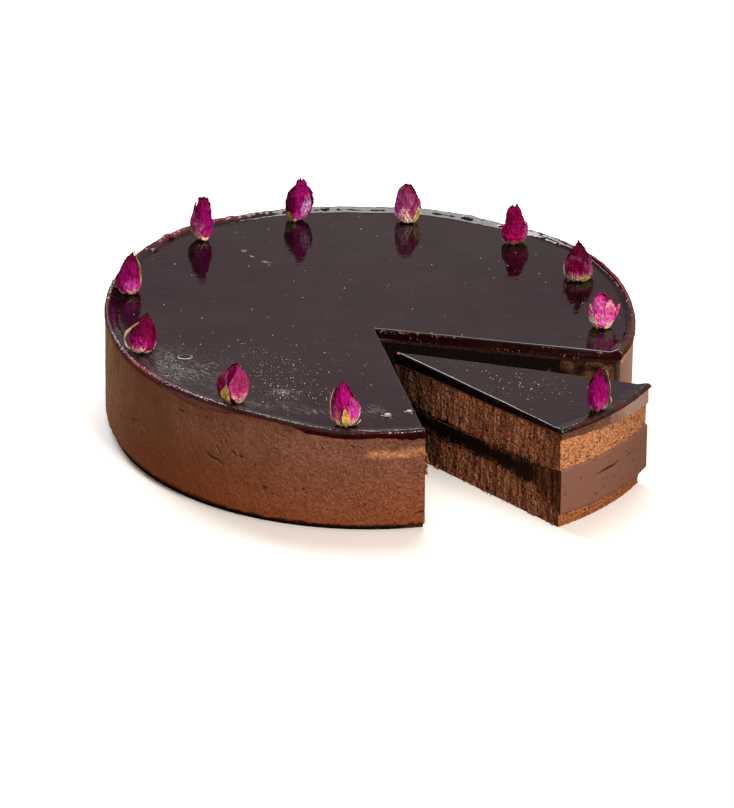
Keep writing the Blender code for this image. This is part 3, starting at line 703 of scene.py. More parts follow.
smooth = add_node(tree, "ShaderNodeMapRange", {0: film_here, 3: COAT_ROUGH, 4: FILM_ROUGH})
shine = add_node(tree, "ShaderNodeMapRange", {0: film_here, 3: COAT_SHINE, 4: FILM_SHINE})
creases = add_node(tree, "ShaderNodeTexNoise", {"Vector": spots, "Scale": pattern_scale(COAT_CREASES),
                                                "Detail": 4.0, "Roughness": 0.65, "Distortion": 0.8})
dent = add_node(tree, "ShaderNodeMath", {0: grain.outputs["Fac"], 1: 0.6, 2: creases.outputs["Fac"]},
                operation="MULTIPLY_ADD")
dent = add_node(tree, "ShaderNodeMath", {0: dent.outputs[0], 1: hole.outputs[0]}, operation="SUBTRACT")
rough = add_node(tree, "ShaderNodeBump", {"Height": dent.outputs[0], "Strength": rougher.outputs[0],
                                          "Distance": COAT_DENTS * MM})
feed(tree, shader, {"Base Color": tone, "Roughness": smooth.outputs[0], "Normal": rough.outputs[0],
                    "Specular IOR Level": shine.outputs[0]})
finish(coat, coat_material, "mousse", "cake_coat")


# ---- Sponge and filling in the cake ----
# Two sheets of soft chocolate sponge with a darker mousse between them. They fill the coat, and
# show where the knife went down: it drags the crumb into upright streaks and opens its pores.
BASE_TOP, FILLING_TOP = 17.5, 25.5
BASE_WAVES, FILLING_WAVES = ((0.45, 11.0, 61), (0.3, 3.5, 62)), ((0.45, 11.0, 63), (0.3, 3.5, 64))
RAY_SHARES = np.linspace(0.0, 1.0, 13)
FACE_STEP = 0.42                     # millimetres between points on a cut face
FACE_BLEND = 1.5                     # millimetres in which its relief fades in and meets the wall
CUT_INSET, FILLING_INSET = 0.32, 0.22
LAYER_CHANNELS = ("dark", "streak", "smear_and_shade")   # smear_and_shade is UNCUT on an outer side; on a cut it is knife smear and painted shade
UNCUT = -1.0
SPONGE, SPONGE_DRAGGED, SPONGE_SMEAR_AND_SHADE, SPONGE_PORE_SHADE = "C88A66", "583020", "0D0503", "180906"
SPONGE_BARE, SPONGE_FOOT = "BD855E", "8A4520"
SPONGE_ROUGH, SPONGE_SHINE = 0.85, 0.12
SPONGE_CRUMB, SPONGE_DENTS = 0.909, 0.8        # size and depth (mm) of its crumb
FOOT_HEIGHT = 20.0                   # below it the bare sponge gets browner
FILLING, FILLING_SHEEN, FILLING_BARE, FILLING_SLIT_SHADE = "050203", "0E0505", "7A584C", "0E0705"
FILLING_DRAWN = "7C4A34"
FILLING_ROUGH, FILLING_SHINE = 0.5, 0.18
# Size and depth (mm) of the filling's lumps, and how strongly they show.
FILLING_LUMPS, FILLING_DENTS, FILLING_BUMP = 1.667, 0.4, 0.4


def pores(cell, seed, share, u, v):
    """1 in the middle of a pore and 0 outside it. A share of the square cells holds one each."""
    column, row = np.floor(u / cell).astype(np.int64), np.floor(v / cell).astype(np.int64)
    deepest = np.zeros(np.shape(u))
    for across, up in product((-1, 0, 1), repeat=2):
        cells = (column + across, row + up)
        middle_u = (cells[0] + chance(seed, *cells)) * cell
        middle_v = (cells[1] + chance(seed + 1, *cells)) * cell
        size = cell * (0.22 + 0.45 * chance(seed + 2, *cells) ** 2)
        away = np.hypot(u - middle_u, v - middle_v) / size
        deepest = np.maximum(deepest, (1.0 - away) * (chance(seed + 3, *cells) < share))
    return np.sqrt(np.clip(deepest, 0.0, 1.0))


def crumb(u, z, seed):
    """Relief (mm, mostly inward) of sponge dragged by a knife, at (u, z) on its cut, and painted shade in its
    pores and grooves.
    """
    bend = 0.5 * noise(6.0, seed + 9, u, z)
    large = pores(1.6, seed, 0.12, u + bend, z / 1.3)
    small = pores(0.8, seed + 4, 0.60, u + bend, z / 1.4)
    groove = noise(0.8, seed + 10, u + bend, z / 6.0)
    rough = 0.17 * noise(1.1, seed + 11, u, z) + 0.11 * noise(0.6, seed + 12, u, z / 1.5)
    sink = 1.2 * rough + 0.15 * groove - CUT_INSET - 0.55 * large - 0.42 * small
    dark = np.clip(0.8 * large + 0.6 * small + 0.25 * np.clip(-groove, 0.0, 1.0), 0.0, 1.0)
    return np.minimum(sink, 0.0), dark


def drag(u, z, seed):
    """Light and dark upright streaks, 0 to 1."""
    streak = 0.55 * noise(0.8, seed, u, z / 8.0) + 0.45 * noise(1.9, seed + 1, u, z / 12.0)
    return np.clip(0.5 + 0.65 * streak, 0.0, 1.0)


def base_top(x, y):
    """Top of the lower sponge."""
    return BASE_TOP + relief(BASE_WAVES, x, y)


def filling_top(x, y):
    return FILLING_TOP + relief(FILLING_WAVES, x, y)


def sponge_top(x, y):
    """Top of the upper sponge, under the mousse."""
    return mousse_top(x, y) - TOP_MOUSSE


def layered(name, apex, rays, out_at, top, bottom, faces_at, rows, wall_at=None, wall_rows=1):
    """A layer of cake as a closed sector. Its two cut faces are fine grids, and so is its outer wall
    where wall_at is given. out_at(rays, z) is the distance to the wall, top and bottom are surfaces
    over (x, y), and faces_at and wall_at give each point's inward relief and channels."""
    levels = np.linspace(0.0, 1.0, rows + 1)
    last = len(RAY_SHARES) - 1

    def lay(directions, shares, rises):
        """Points at shares of the way out and rises of the way up, on a grid of rays."""
        z = 0.5 * (BASE_TOP + FILLING_TOP)
        for _ in range(3):
            x, y = on_ray(apex, directions, out_at(directions, z) * shares)
            low, high = bottom(x, y), top(x, y)
            z = low + (high - low) * rises
        return np.stack(np.broadcast_arrays(x, y, z), axis=-1)

    wall_steps = np.linspace(1.0, 0.0, wall_rows + 1)[1:-1]
    shares = np.concatenate((RAY_SHARES, np.ones(len(wall_steps)), RAY_SHARES[::-1]))
    rises = np.concatenate((np.ones(last + 1), wall_steps, np.zeros(last + 1)))
    loops = lay(rays[:, None], shares[None, :], rises[None, :])
    walled = slice(last, last + wall_rows + 1)
    traits = np.zeros(loops.shape[:2] + (len(LAYER_CHANNELS),))
    traits[..., 2] = 1.0
    if wall_at:
        sink, traits[:, walled] = wall_at(loops[:, walled])
        shift_along(loops[:, walled], rays[:, None], sink)
    loops = np.concatenate((loops, traits), axis=-1)

    number = np.arange(loops.shape[0] * loops.shape[1]).reshape(loops.shape[:2])
    points, faces, count = [loops.reshape(-1, loops.shape[-1])], grid_faces(number[1:-1]), number.size
    fine = max(1, round(float(np.max(out_at(rays, BASE_TOP))) / last / FACE_STEP))
    across = np.interp(np.arange(last * fine + 1) / fine, np.arange(last + 1), RAY_SHARES)
    for end, quarter in ((0, -90.0), (-1, 90.0)):
        face = lay(np.full((1, 1), rays[end]), across[:, None], levels[None, :])
        u = np.hypot(face[..., 0] - apex[0], face[..., 1] - apex[1])
        sink, traits = faces_at(u, face[..., 2], end)
        sink = sink * ease(0.0, FACE_BLEND, u)
        if wall_at:
            face[-1, :, :2] = loops[end, walled][::-1, :2]
            near = np.clip(1.0 - (u[-1] - u) / FACE_BLEND, 0.0, 1.0)
            moved = face[-1, :, :2] - np.stack(on_ray(apex, rays[end], u[-1]), axis=-1)
            face[:-1, :, :2] += near[:-1, :, None] * moved[None]
        shift_along(face, rays[end] + quarter, sink)
        points.append(np.concatenate((face, traits), axis=-1).reshape(-1, loops.shape[-1]))
        grid = count + np.arange(face.shape[0] * face.shape[1]).reshape(face.shape[:2])
        count += grid.size
        faces += grid_faces(grid)
        # The face's border meets the next ray's section: several of its points to each step there.
        border = np.concatenate((grid[:, -1], grid[-1, -2::-1], grid[-2::-1, 0]))
        wall_stops = np.round(np.linspace(0, rows, wall_rows + 1)).astype(int)[1:]
        stops = np.concatenate((np.arange(last + 1) * fine, last * fine + wall_stops,
                                last * fine + rows + np.arange(1, last + 1) * fine))
        section = number[1] if end == 0 else number[-2]
        for k in range(len(section) - 1):
            faces.append([section[k + 1], section[k], *border[stops[k]:stops[k + 1] + 1]])
    return solid(name, np.concatenate(points), faces, LAYER_CHANNELS, sharp=70.0)


def cake_sponge_face(u, z, end):
    seed = 70 if end == 0 else 90
    sink, dark = crumb(u, z, seed)
    # Painted shade of the gap over the cake's cut face, lighter towards the outer side.
    smear_and_shade = np.clip(1.32 - 0.60 * ease(62.0, 108.0, u) + 0.3 * noise(4.0, seed + 16, u, z), 0.0, 1.0)
    return sink, np.stack((dark, drag(u, z, seed + 15), smear_and_shade), axis=-1)


def cake_filling_face(u, z, end):
    sink = 0.10 * noise(1.0, 111 + end, u, z / 5.0) + 0.06 * noise(0.6, 113, u, z) - FILLING_INSET
    none = np.zeros_like(u)
    return np.minimum(sink, 0.0), np.stack((none, drag(u, z, 115 + end), none), axis=-1)


def inside_coat(directions, height):
    return cake_reach(directions, height) - COAT_WALL + OVERLAP


def floor_level(x, y):
    return np.zeros(np.shape(x))


hidden_rays = rays_between(FAR_CUT, NEAR_CUT, 3.0, ends=())
cake_base = layered("lower_sponge", CUT_APEX, hidden_rays, inside_coat, base_top, floor_level,
                    cake_sponge_face, 42)
cake_filling = layered("dark_filling", CUT_APEX, hidden_rays, inside_coat, filling_top, base_top,
                       cake_filling_face, 16)
cake_upper = layered("upper_sponge", CUT_APEX, hidden_rays, inside_coat, sponge_top, filling_top,
                     cake_sponge_face, 50)

# Chocolate sponge: whisked and baked, matt, open pores up to 1 mm, with painted shade in them. The
# cut is damp, and darker than the bare outside: painted shade lies over the cake's cut faces and
# towards the slice's tip, and the knife has smeared dark mousse over the slice's cut.
sponge_material, tree, shader = new_material("baked_chocolate_sponge")
spots = add_node(tree, "ShaderNodeTexCoord").outputs["Object"]
dark_here, streaked, smear_and_shade_here = (
    add_node(tree, "ShaderNodeAttribute", attribute_name=name).outputs["Fac"] for name in LAYER_CHANNELS)
outside = add_node(tree, "ShaderNodeMath", {0: smear_and_shade_here, 1: UNCUT}, operation="MULTIPLY")
up = add_node(tree, "ShaderNodeSeparateXYZ", {0: spots}).outputs["Z"]
low = add_node(tree, "ShaderNodeMapRange", {0: up, 1: FOOT_HEIGHT * MM, 2: 0.0, 3: 0.0, 4: 0.75})
bare = add_node(tree, "ShaderNodeMix", {0: low.outputs[0], 6: linear(SPONGE_BARE), 7: linear(SPONGE_FOOT)},
                data_type="RGBA")
crumbs_in = add_node(tree, "ShaderNodeTexNoise", {"Vector": spots, "Scale": pattern_scale(SPONGE_CRUMB),
                                                  "Detail": 3.0, "Roughness": 0.7})
speck = add_node(tree, "ShaderNodeMapRange", {0: crumbs_in.outputs["Fac"], 1: 0.34, 2: 0.66, 3: 0.3, 4: 1.7})
tone = linear(SPONGE)
for share, over, way in (
        (streaked, linear(SPONGE_DRAGGED), "MIX"), (smear_and_shade_here, linear(SPONGE_SMEAR_AND_SHADE), "MIX"),
        (outside.outputs[0], bare.outputs[2], "MIX"), (1.0, speck.outputs[0], "MULTIPLY"),
        (dark_here, linear(SPONGE_PORE_SHADE), "MIX")):
    tone = add_node(tree, "ShaderNodeMix", {0: share, 6: tone, 7: over}, data_type="RGBA",
                    blend_type=way).outputs[2]
rough = add_node(tree, "ShaderNodeBump", {"Height": crumbs_in.outputs["Fac"], "Strength": 1.0,
                                          "Distance": SPONGE_DENTS * MM})
feed(tree, shader, {"Base Color": tone, "Normal": rough.outputs[0], "Roughness": SPONGE_ROUGH,
                    "Specular IOR Level": SPONGE_SHINE})

# Dark chocolate mousse: smooth and damp, almost black where it is cut, and light brown with a few
# slits where it set against the film. Its slits and pits are painted dark with shade.
filling_material, tree, shader = new_material("dark_chocolate_mousse")
spots = add_node(tree, "ShaderNodeTexCoord").outputs["Object"]
dark_here, streaked, smear_and_shade_here = (
    add_node(tree, "ShaderNodeAttribute", attribute_name=name).outputs["Fac"] for name in LAYER_CHANNELS)
outside = add_node(tree, "ShaderNodeMath", {0: smear_and_shade_here, 1: UNCUT}, operation="MULTIPLY")
drawn = add_node(tree, "ShaderNodeMix", {0: streaked, 6: linear(FILLING_DRAWN), 7: linear(SPONGE_SMEAR_AND_SHADE)},
                 data_type="RGBA")
tone = linear(FILLING_SHEEN)
for share, over in ((streaked, linear(FILLING)), (smear_and_shade_here, drawn.outputs[2]),
                    (outside.outputs[0], linear(FILLING_BARE)), (dark_here, linear(FILLING_SLIT_SHADE))):
    tone = add_node(tree, "ShaderNodeMix", {0: share, 6: tone, 7: over}, data_type="RGBA").outputs[2]
lumps = add_node(tree, "ShaderNodeTexNoise", {"Vector": spots, "Scale": pattern_scale(FILLING_LUMPS),
                                              "Detail": 3.0})
rough = add_node(tree, "ShaderNodeBump", {"Height": lumps.outputs["Fac"], "Strength": FILLING_BUMP,
                                          "Distance": FILLING_DENTS * MM})
feed(tree, shader, {"Base Color": tone, "Normal": rough.outputs[0], "Roughness": FILLING_ROUGH,
                    "Specular IOR Level": FILLING_SHINE})

finish(cake_base, sponge_material, "sponge", "cake_base_sponge")
finish(cake_upper, sponge_material, "sponge", "cake_upper_sponge")
finish(cake_filling, filling_material, "filling", "cake_filling")


# ---- The drawn slice ----
# One portion, pulled out of the gap by a third of its length. Its outer side was against the ring
# too: mousse hangs below the glaze there, the sponges stand bare and the filling bulges out.
SLICE_RING = (16.4, -18.0)           # where the ring's middle has gone with it
SLICE_TIP = (12.9, -40.2)
SLICE_NEAR, SLICE_FAR = -47.9, -16.4
SLICE_CUTS = (SLICE_NEAR, SLICE_FAR)
BASE_FAR = -17.9                     # the base sponge stops short of the far cut
SLICE_STEP, SLICE_ENDS = 0.18, (0.1, 0.3, 0.6)
SLICE_MIDDLE, SLICE_RIM, SLICE_LIP, SLICE_GLAZE, SLICE_EDGE_GLAZE = 51.0, 50.5, 0.5, 4.6, 1.8
TIP_GLAZE, TIP_SPREAD = 1.6, 16.0    # extra glaze at the tip
FLARE_START, FLARE_TOP, FLARE_BOTTOM = 108.0, 29.6, 6.5     # the filling swells past this radius
SKIN, SKIN_FOOT, SKIN_ROWS = 0.4, 0.35, 16     # its mousse on top, how far in its foot turns, rows
SKIRT_NEAR, SKIRT_FAR = 3.0, 7.5     # how far the skin hangs down the side at each cut
SKIRT_RAGGED = ((0.35, 5.0, 67), (0.15, 1.6, 68))
BASE_INSET, BASE_INSET_FAR, UPPER_INSET = 1.2, 2.4, 0.9
BEAK_REACH, BEAK_RISE = 1.3, 0.9     # the glaze's far corner sticks out and up
TORN_TIP = 1.2                       # how far the upper sponge has torn away at the tip
SLICE_SLITS = ((-42.0, 20.9, 19.0, 3.0, 0.85), (-34.3, 21.7, 2.4, 10.0, 0.45), (-32.4, 21.9, 1.6, 0.0, 0.4))
SIDE_SHADE = (-50.0, -28.0, 0.24)    # painted shade: the outer side is darker past these azimuths, by this much


def about_slice(x, y):
    x, y = x - SLICE_RING[0], y - SLICE_RING[1]
    return np.hypot(x, y), np.degrees(np.arctan2(y, x))


def slice_wall(azimuth):
    return np.full(np.shape(azimuth), RING_RADIUS)


def slice_reach(direction, inset=0.0):
    return reach(SLICE_TIP, direction, *SLICE_RING, slice_wall) - inset


def slice_flat(x, y):
    radius, _ = about_slice(x, y)
    return SLICE_MIDDLE + (SLICE_RIM - SLICE_LIP - SLICE_MIDDLE) * (radius / RING_RADIUS) ** 2


def slice_mousse_top(x, y):
    radius, _ = about_slice(x, y)
    tip = np.hypot(x - SLICE_TIP[0], y - SLICE_TIP[1])
    depth = SLICE_GLAZE - (SLICE_GLAZE - SLICE_EDGE_GLAZE) * (radius / RING_RADIUS) ** 4
    return slice_flat(x, y) - depth - TIP_GLAZE * np.exp(-(tip / TIP_SPREAD) ** 2)


def slice_sponge_top(x, y):
    return slice_mousse_top(x, y) - SKIN


def flared(x, y, inner, outer):
    radius, _ = about_slice(x, y)
    return inner + (outer - inner) * ease(FLARE_START, RING_RADIUS, radius)


def flare_top(x, y):
    return flared(x, y, filling_top(x, y), FLARE_TOP + 0.3 * noise(7.0, 65, x, y))


def flare_bottom(x, y):
    return flared(x, y, base_top(x, y), FLARE_BOTTOM + 0.3 * noise(7.0, 66, x, y))


slice_rays = rays_between(SLICE_NEAR, SLICE_FAR, SLICE_STEP, SLICE_ENDS)
corner = [float(about_slice(*on_ray(SLICE_TIP, d, slice_reach(d)))[1]) for d in SLICE_CUTS]

loops = glaze_loops(SLICE_TIP, slice_rays, slice_reach(slice_rays), slice_flat, SLICE_LIP,
                    slice_mousse_top, SLICE_CUTS, 50)
x, y, z, inward = (loops[..., k] for k in range(4))
_, azimuth = about_slice(x, y)
beak = ease(corner[1] - 4.0, corner[1], azimuth) * ease(5.0, 0.0, inward)
x += BEAK_REACH * beak
z += BEAK_RISE * beak
# Painted crimson of the light that comes through the slice's lip.
thin = ease(3.0, 1.0, inward) * (0.12 + 0.2 * noise(3.0, 59, x, y))
wet = 0.7 * ease(2.8, 1.6, inward)
side = ease(0.8, 1.8, slice_flat(x, y) - z) * ease(4.0, 3.0, inward)
none = np.zeros_like(wet)
slice_glaze = sector("slice_mirror_glaze", np.stack((x, y, z, thin, wet, none, none, side), axis=-1),
                     GLAZE_CHANNELS)
finish(slice_glaze, glaze_material, "glaze", "slice_glaze")


def slice_share(azimuth):
    """0 at the near cut, 1 at the far one."""
    return np.clip((azimuth - corner[0]) / (corner[1] - corner[0]), 0.0, 1.0)


# The mousse that hangs at the side is a skin 0.9 mm thick over the sponge.
columns = []


def skin_point(inward, height, drop=0.0):
    """One point of the skin's section on every ray."""
    x, y = on_ray(SLICE_TIP, slice_rays, slice_reach(slice_rays) - inward)
    columns.append(np.stack((x, y, height(x, y) - drop), axis=-1))


def skirt_foot(x, y):
    _, azimuth = about_slice(x, y)
    hang = SKIRT_NEAR + (SKIRT_FAR - SKIRT_NEAR) * slice_share(azimuth) ** 1.2
    return slice_mousse_top(x, y) - hang - relief(SKIRT_RAGGED, azimuth * 2.2)


whole = slice_reach(slice_rays)
for share in (0.0, 0.1, 0.4, 0.8):
    skin_point(whole * (1.0 - share), slice_mousse_top)
skin_point(0.1, slice_mousse_top)
top_points = columns[-1]
skin_point(0.0, skirt_foot)
foot_points = columns.pop()
hung = slice(len(columns), len(columns) + SKIN_ROWS)
for share in np.linspace(0.06, 1.0, SKIN_ROWS):
    columns.append(top_points + (foot_points - top_points) * share)
skin_point(SKIN_FOOT, skirt_foot, 0.12)
skin_point(UPPER_INSET + OVERLAP, skirt_foot, -OVERLAP)
skin_point(UPPER_INSET + OVERLAP, slice_sponge_top)
for share in (0.8, 0.4, 0.1, 0.0):
    skin_point(whole * (1.0 - share), slice_sponge_top)
loops = np.stack(columns, axis=1)
_, azimuth = about_slice(loops[..., 0], loops[..., 1])
arc = rim_arc(azimuth)
wave = 0.10 * noise(6.0, 71, arc, loops[..., 2]) - 0.1
shift_along(loops[:, hung], azimuth[:, hung], wave[:, hung])
# Painted grey sheen on the slice's skin towards the far cut.
film = 0.75 * ease(0.35, 0.8, slice_share(azimuth) + 0.1 * noise(4.0, 72, arc))
# Darker towards the near cut.
dark = 0.52 * ease(0.7, 0.2, slice_share(azimuth))
none = np.zeros_like(film)
loops = np.concatenate((loops, np.stack((dark, none, film, none), axis=-1)), axis=-1)
slice_skin = sector("slice_mousse_skin", loops, COAT_CHANNELS)
finish(slice_skin, coat_material, "mousse", "slice_top_mousse")


def slice_sponge_face(u, z, end):
    """Painted shade darkens the sponge towards the tip. It is darker near the outer side, and the knife has
    drawn the filling into it.
    """
    seed = 130 if end == 0 else 150
    sink, dark = crumb(u, z, seed)
    if end == 0:
        sink = sink - TORN_TIP * np.exp(-(u / 5.0) ** 2) * ease(30.0, 38.0, z)
    ragged = 0.3 * noise(3.0, seed + 20, u, z / 12.0)
    smear_and_shade = (0.42 * ease(92.0, 108.0, u + 12.0 * ragged) + 0.9 * ease(50.0, 6.0, u)
             + 0.25 * noise(1.1, seed + 21, u, z / 14.0) - 0.12 * ease(24.0, 30.0, z))
    beside = np.maximum(np.maximum(z - FILLING_TOP, BASE_TOP - z), 0.0)
    length = 0.7 + 3.2 * np.clip(noise(1.0, seed + 22, u, z / 20.0) + 0.1, 0.0, 1.0)
    smear_and_shade = np.clip(smear_and_shade, 0.0, 0.95) + np.exp(-(beside / length) ** 2) * ease(104.0, 92.0, u)
    return sink, np.stack((dark, drag(u, z, seed + 15), np.clip(smear_and_shade, 0.0, 1.0)), axis=-1)


def slice_filling_face(u, z, end):
    """The knife has drawn sponge over the filling near the side, and into its edges."""
    sponge_sink, dark = crumb(u, z, 130 if end == 0 else 150)
    ragged = 7.0 * noise(1.1, 176 + end, u, z / 30.0) + 6.0 * noise(5.0, 171 + end, u, z / 4.0)
    flare = ease(84.0, 104.0, u + ragged)
    inside = np.minimum(np.abs(z - BASE_TOP), np.abs(z - FILLING_TOP))
    tears = ease(0.15, 0.5, noise(1.2, 174, u, z / 9.0)) * ease(2.6, 0.5, inside)
    smear_and_shade = np.clip(flare + 0.8 * tears, 0.0, 1.0)
    sink = -0.25 + 0.14 * noise(0.9, 171 + end, u, z / 8.0) + 0.08 * noise(0.6, 173, u, z)
    sink = sink + (sponge_sink - sink) * smear_and_shade
    # Painted shade in the pores of the sponge drawn over it.
    return np.minimum(sink, 0.0), np.stack((dark * smear_and_shade, drag(u, z, 175 + end), smear_and_shade), axis=-1)


def side_place(points):
    """Azimuth, millimetres round the ring, height and painted shade of points on the slice's outer side."""
    _, azimuth = about_slice(points[..., 0], points[..., 1])
    start, full, much = SIDE_SHADE
    return azimuth, rim_arc(azimuth), points[..., 2], much * ease(start, full, azimuth)


def bare_sponge_wall(points):
    """The sponge's baked outer side: lighter and finer than its cut."""
    _, u, z, shade = side_place(points)
    large = pores(1.3, 181, 0.25, u, z)
    small = pores(0.75, 185, 0.45, u, z)
    sink = 0.12 * noise(1.3, 189, u, z) + 0.06 * noise(0.6, 190, u, z) - 0.15 - 0.5 * large - 0.3 * small
    # Painted shade: in the pores, and towards the far cut.
    dark = np.clip(0.75 * large + 0.5 * small + shade, 0.0, 1.0)
    streak = 0.35 * (0.5 + 0.5 * noise(3.0, 191, u, z))
    return np.minimum(sink, 0.05), np.stack((dark, streak, np.full_like(u, UNCUT)), axis=-1)


def filling_wall(points):
    """The filling's outer side: smooth and bulging, with a few slits and pits."""
    azimuth, u, z, shade = side_place(points)
    slits = slit_depth(azimuth, z, SLICE_SLITS)
    pits = ease(0.78, 0.92, noise(1.5, 195, u, z))
    edge = np.minimum(z - flare_bottom(points[..., 0], points[..., 1]),
                      flare_top(points[..., 0], points[..., 1]) - z)
    sink = (0.16 * noise(14.0, 192, u, z / 3.0) + 0.05 * noise(4.0, 193, u, z) - 0.18
            - 0.8 * slits - 0.35 * pits - 0.5 * np.clip(1.0 - edge / 0.9, 0.0, 1.0) ** 2)
    # Painted shade: in the slits and pits, and towards the far cut.
    dark = np.clip(slits + 0.6 * pits + shade, 0.0, 1.0)
    return np.minimum(sink, 0.0), np.stack((dark, np.zeros_like(u), np.full_like(u, UNCUT)), axis=-1)


def base_reach(direction, height):
    share = np.clip((direction - SLICE_NEAR) / (BASE_FAR - SLICE_NEAR), 0.0, 1.0)
    return slice_reach(direction, BASE_INSET + (BASE_INSET_FAR - BASE_INSET) * share)


base_rays = rays_between(SLICE_NEAR, BASE_FAR, SLICE_STEP, SLICE_ENDS)
slice_base = layered("slice_lower_sponge", SLICE_TIP, base_rays, base_reach, flare_bottom, floor_level,
                     slice_sponge_face, 40, bare_sponge_wall, 40)
slice_fill = layered("slice_dark_filling", SLICE_TIP, slice_rays, lambda d, z: slice_reach(d),
                     flare_top, flare_bottom, slice_filling_face, 44, filling_wall, 44)
slice_upper = layered("slice_upper_sponge", SLICE_TIP, slice_rays,
                      lambda d, z: slice_reach(d, UPPER_INSET), slice_sponge_top, flare_top,
                      slice_sponge_face, 46, bare_sponge_wall, 46)
finish(slice_base, sponge_material, "sponge", "slice_base_sponge")
finish(slice_upper, sponge_material, "sponge", "slice_upper_sponge")
finish(slice_fill, filling_material, "filling", "slice_filling")


# ---- Rosebuds ----
# Dried rosebuds, 17 to 22 mm tall, pressed into the glaze before it set: one for each portion.
# Thin crinkled petals wrap a tight heart, paler towards the foot, and five dry sepals clasp them.
PETAL_THICK = 0.22
WRAP = 0.4                           # the petals stand this far (mm) out of the body they wrap
BUD_RISE = 0.1                       # a bud's foot stands this far (mm) over the glaze
BROADEST_SEPAL = 28.0                # half width in degrees: what is broader is a petal
PETAL_GRID, SEPAL_GRID = (41, 48), (9, 26)     # points across and along
BELLY = 0.45                         # share of its length at which a petal is widest
DARKEST_VEIN = 0.12
TINTS = {"wine": "5A0632", "crimson": "84043F", "ruby": "98064E", "magenta": "A00A70", "fuchsia": "BC0C86",
         "orchid": "B83A98", "mauve": "A44A7C", "lilac": "C890C0", "rose": "C83C80", "pink": "D85CA4",
         "blush": "D8A0A8", "cream": "DEC8A0", "leaf": "A8963E", "moss": "716C30"}
PETAL_ROUGH, PETAL_SHINE = 0.7, 0.05
VEINS, VEIN_DEPTH = 0.6667, 0.5      # sizes (mm), drawn twice as coarse as real, to show
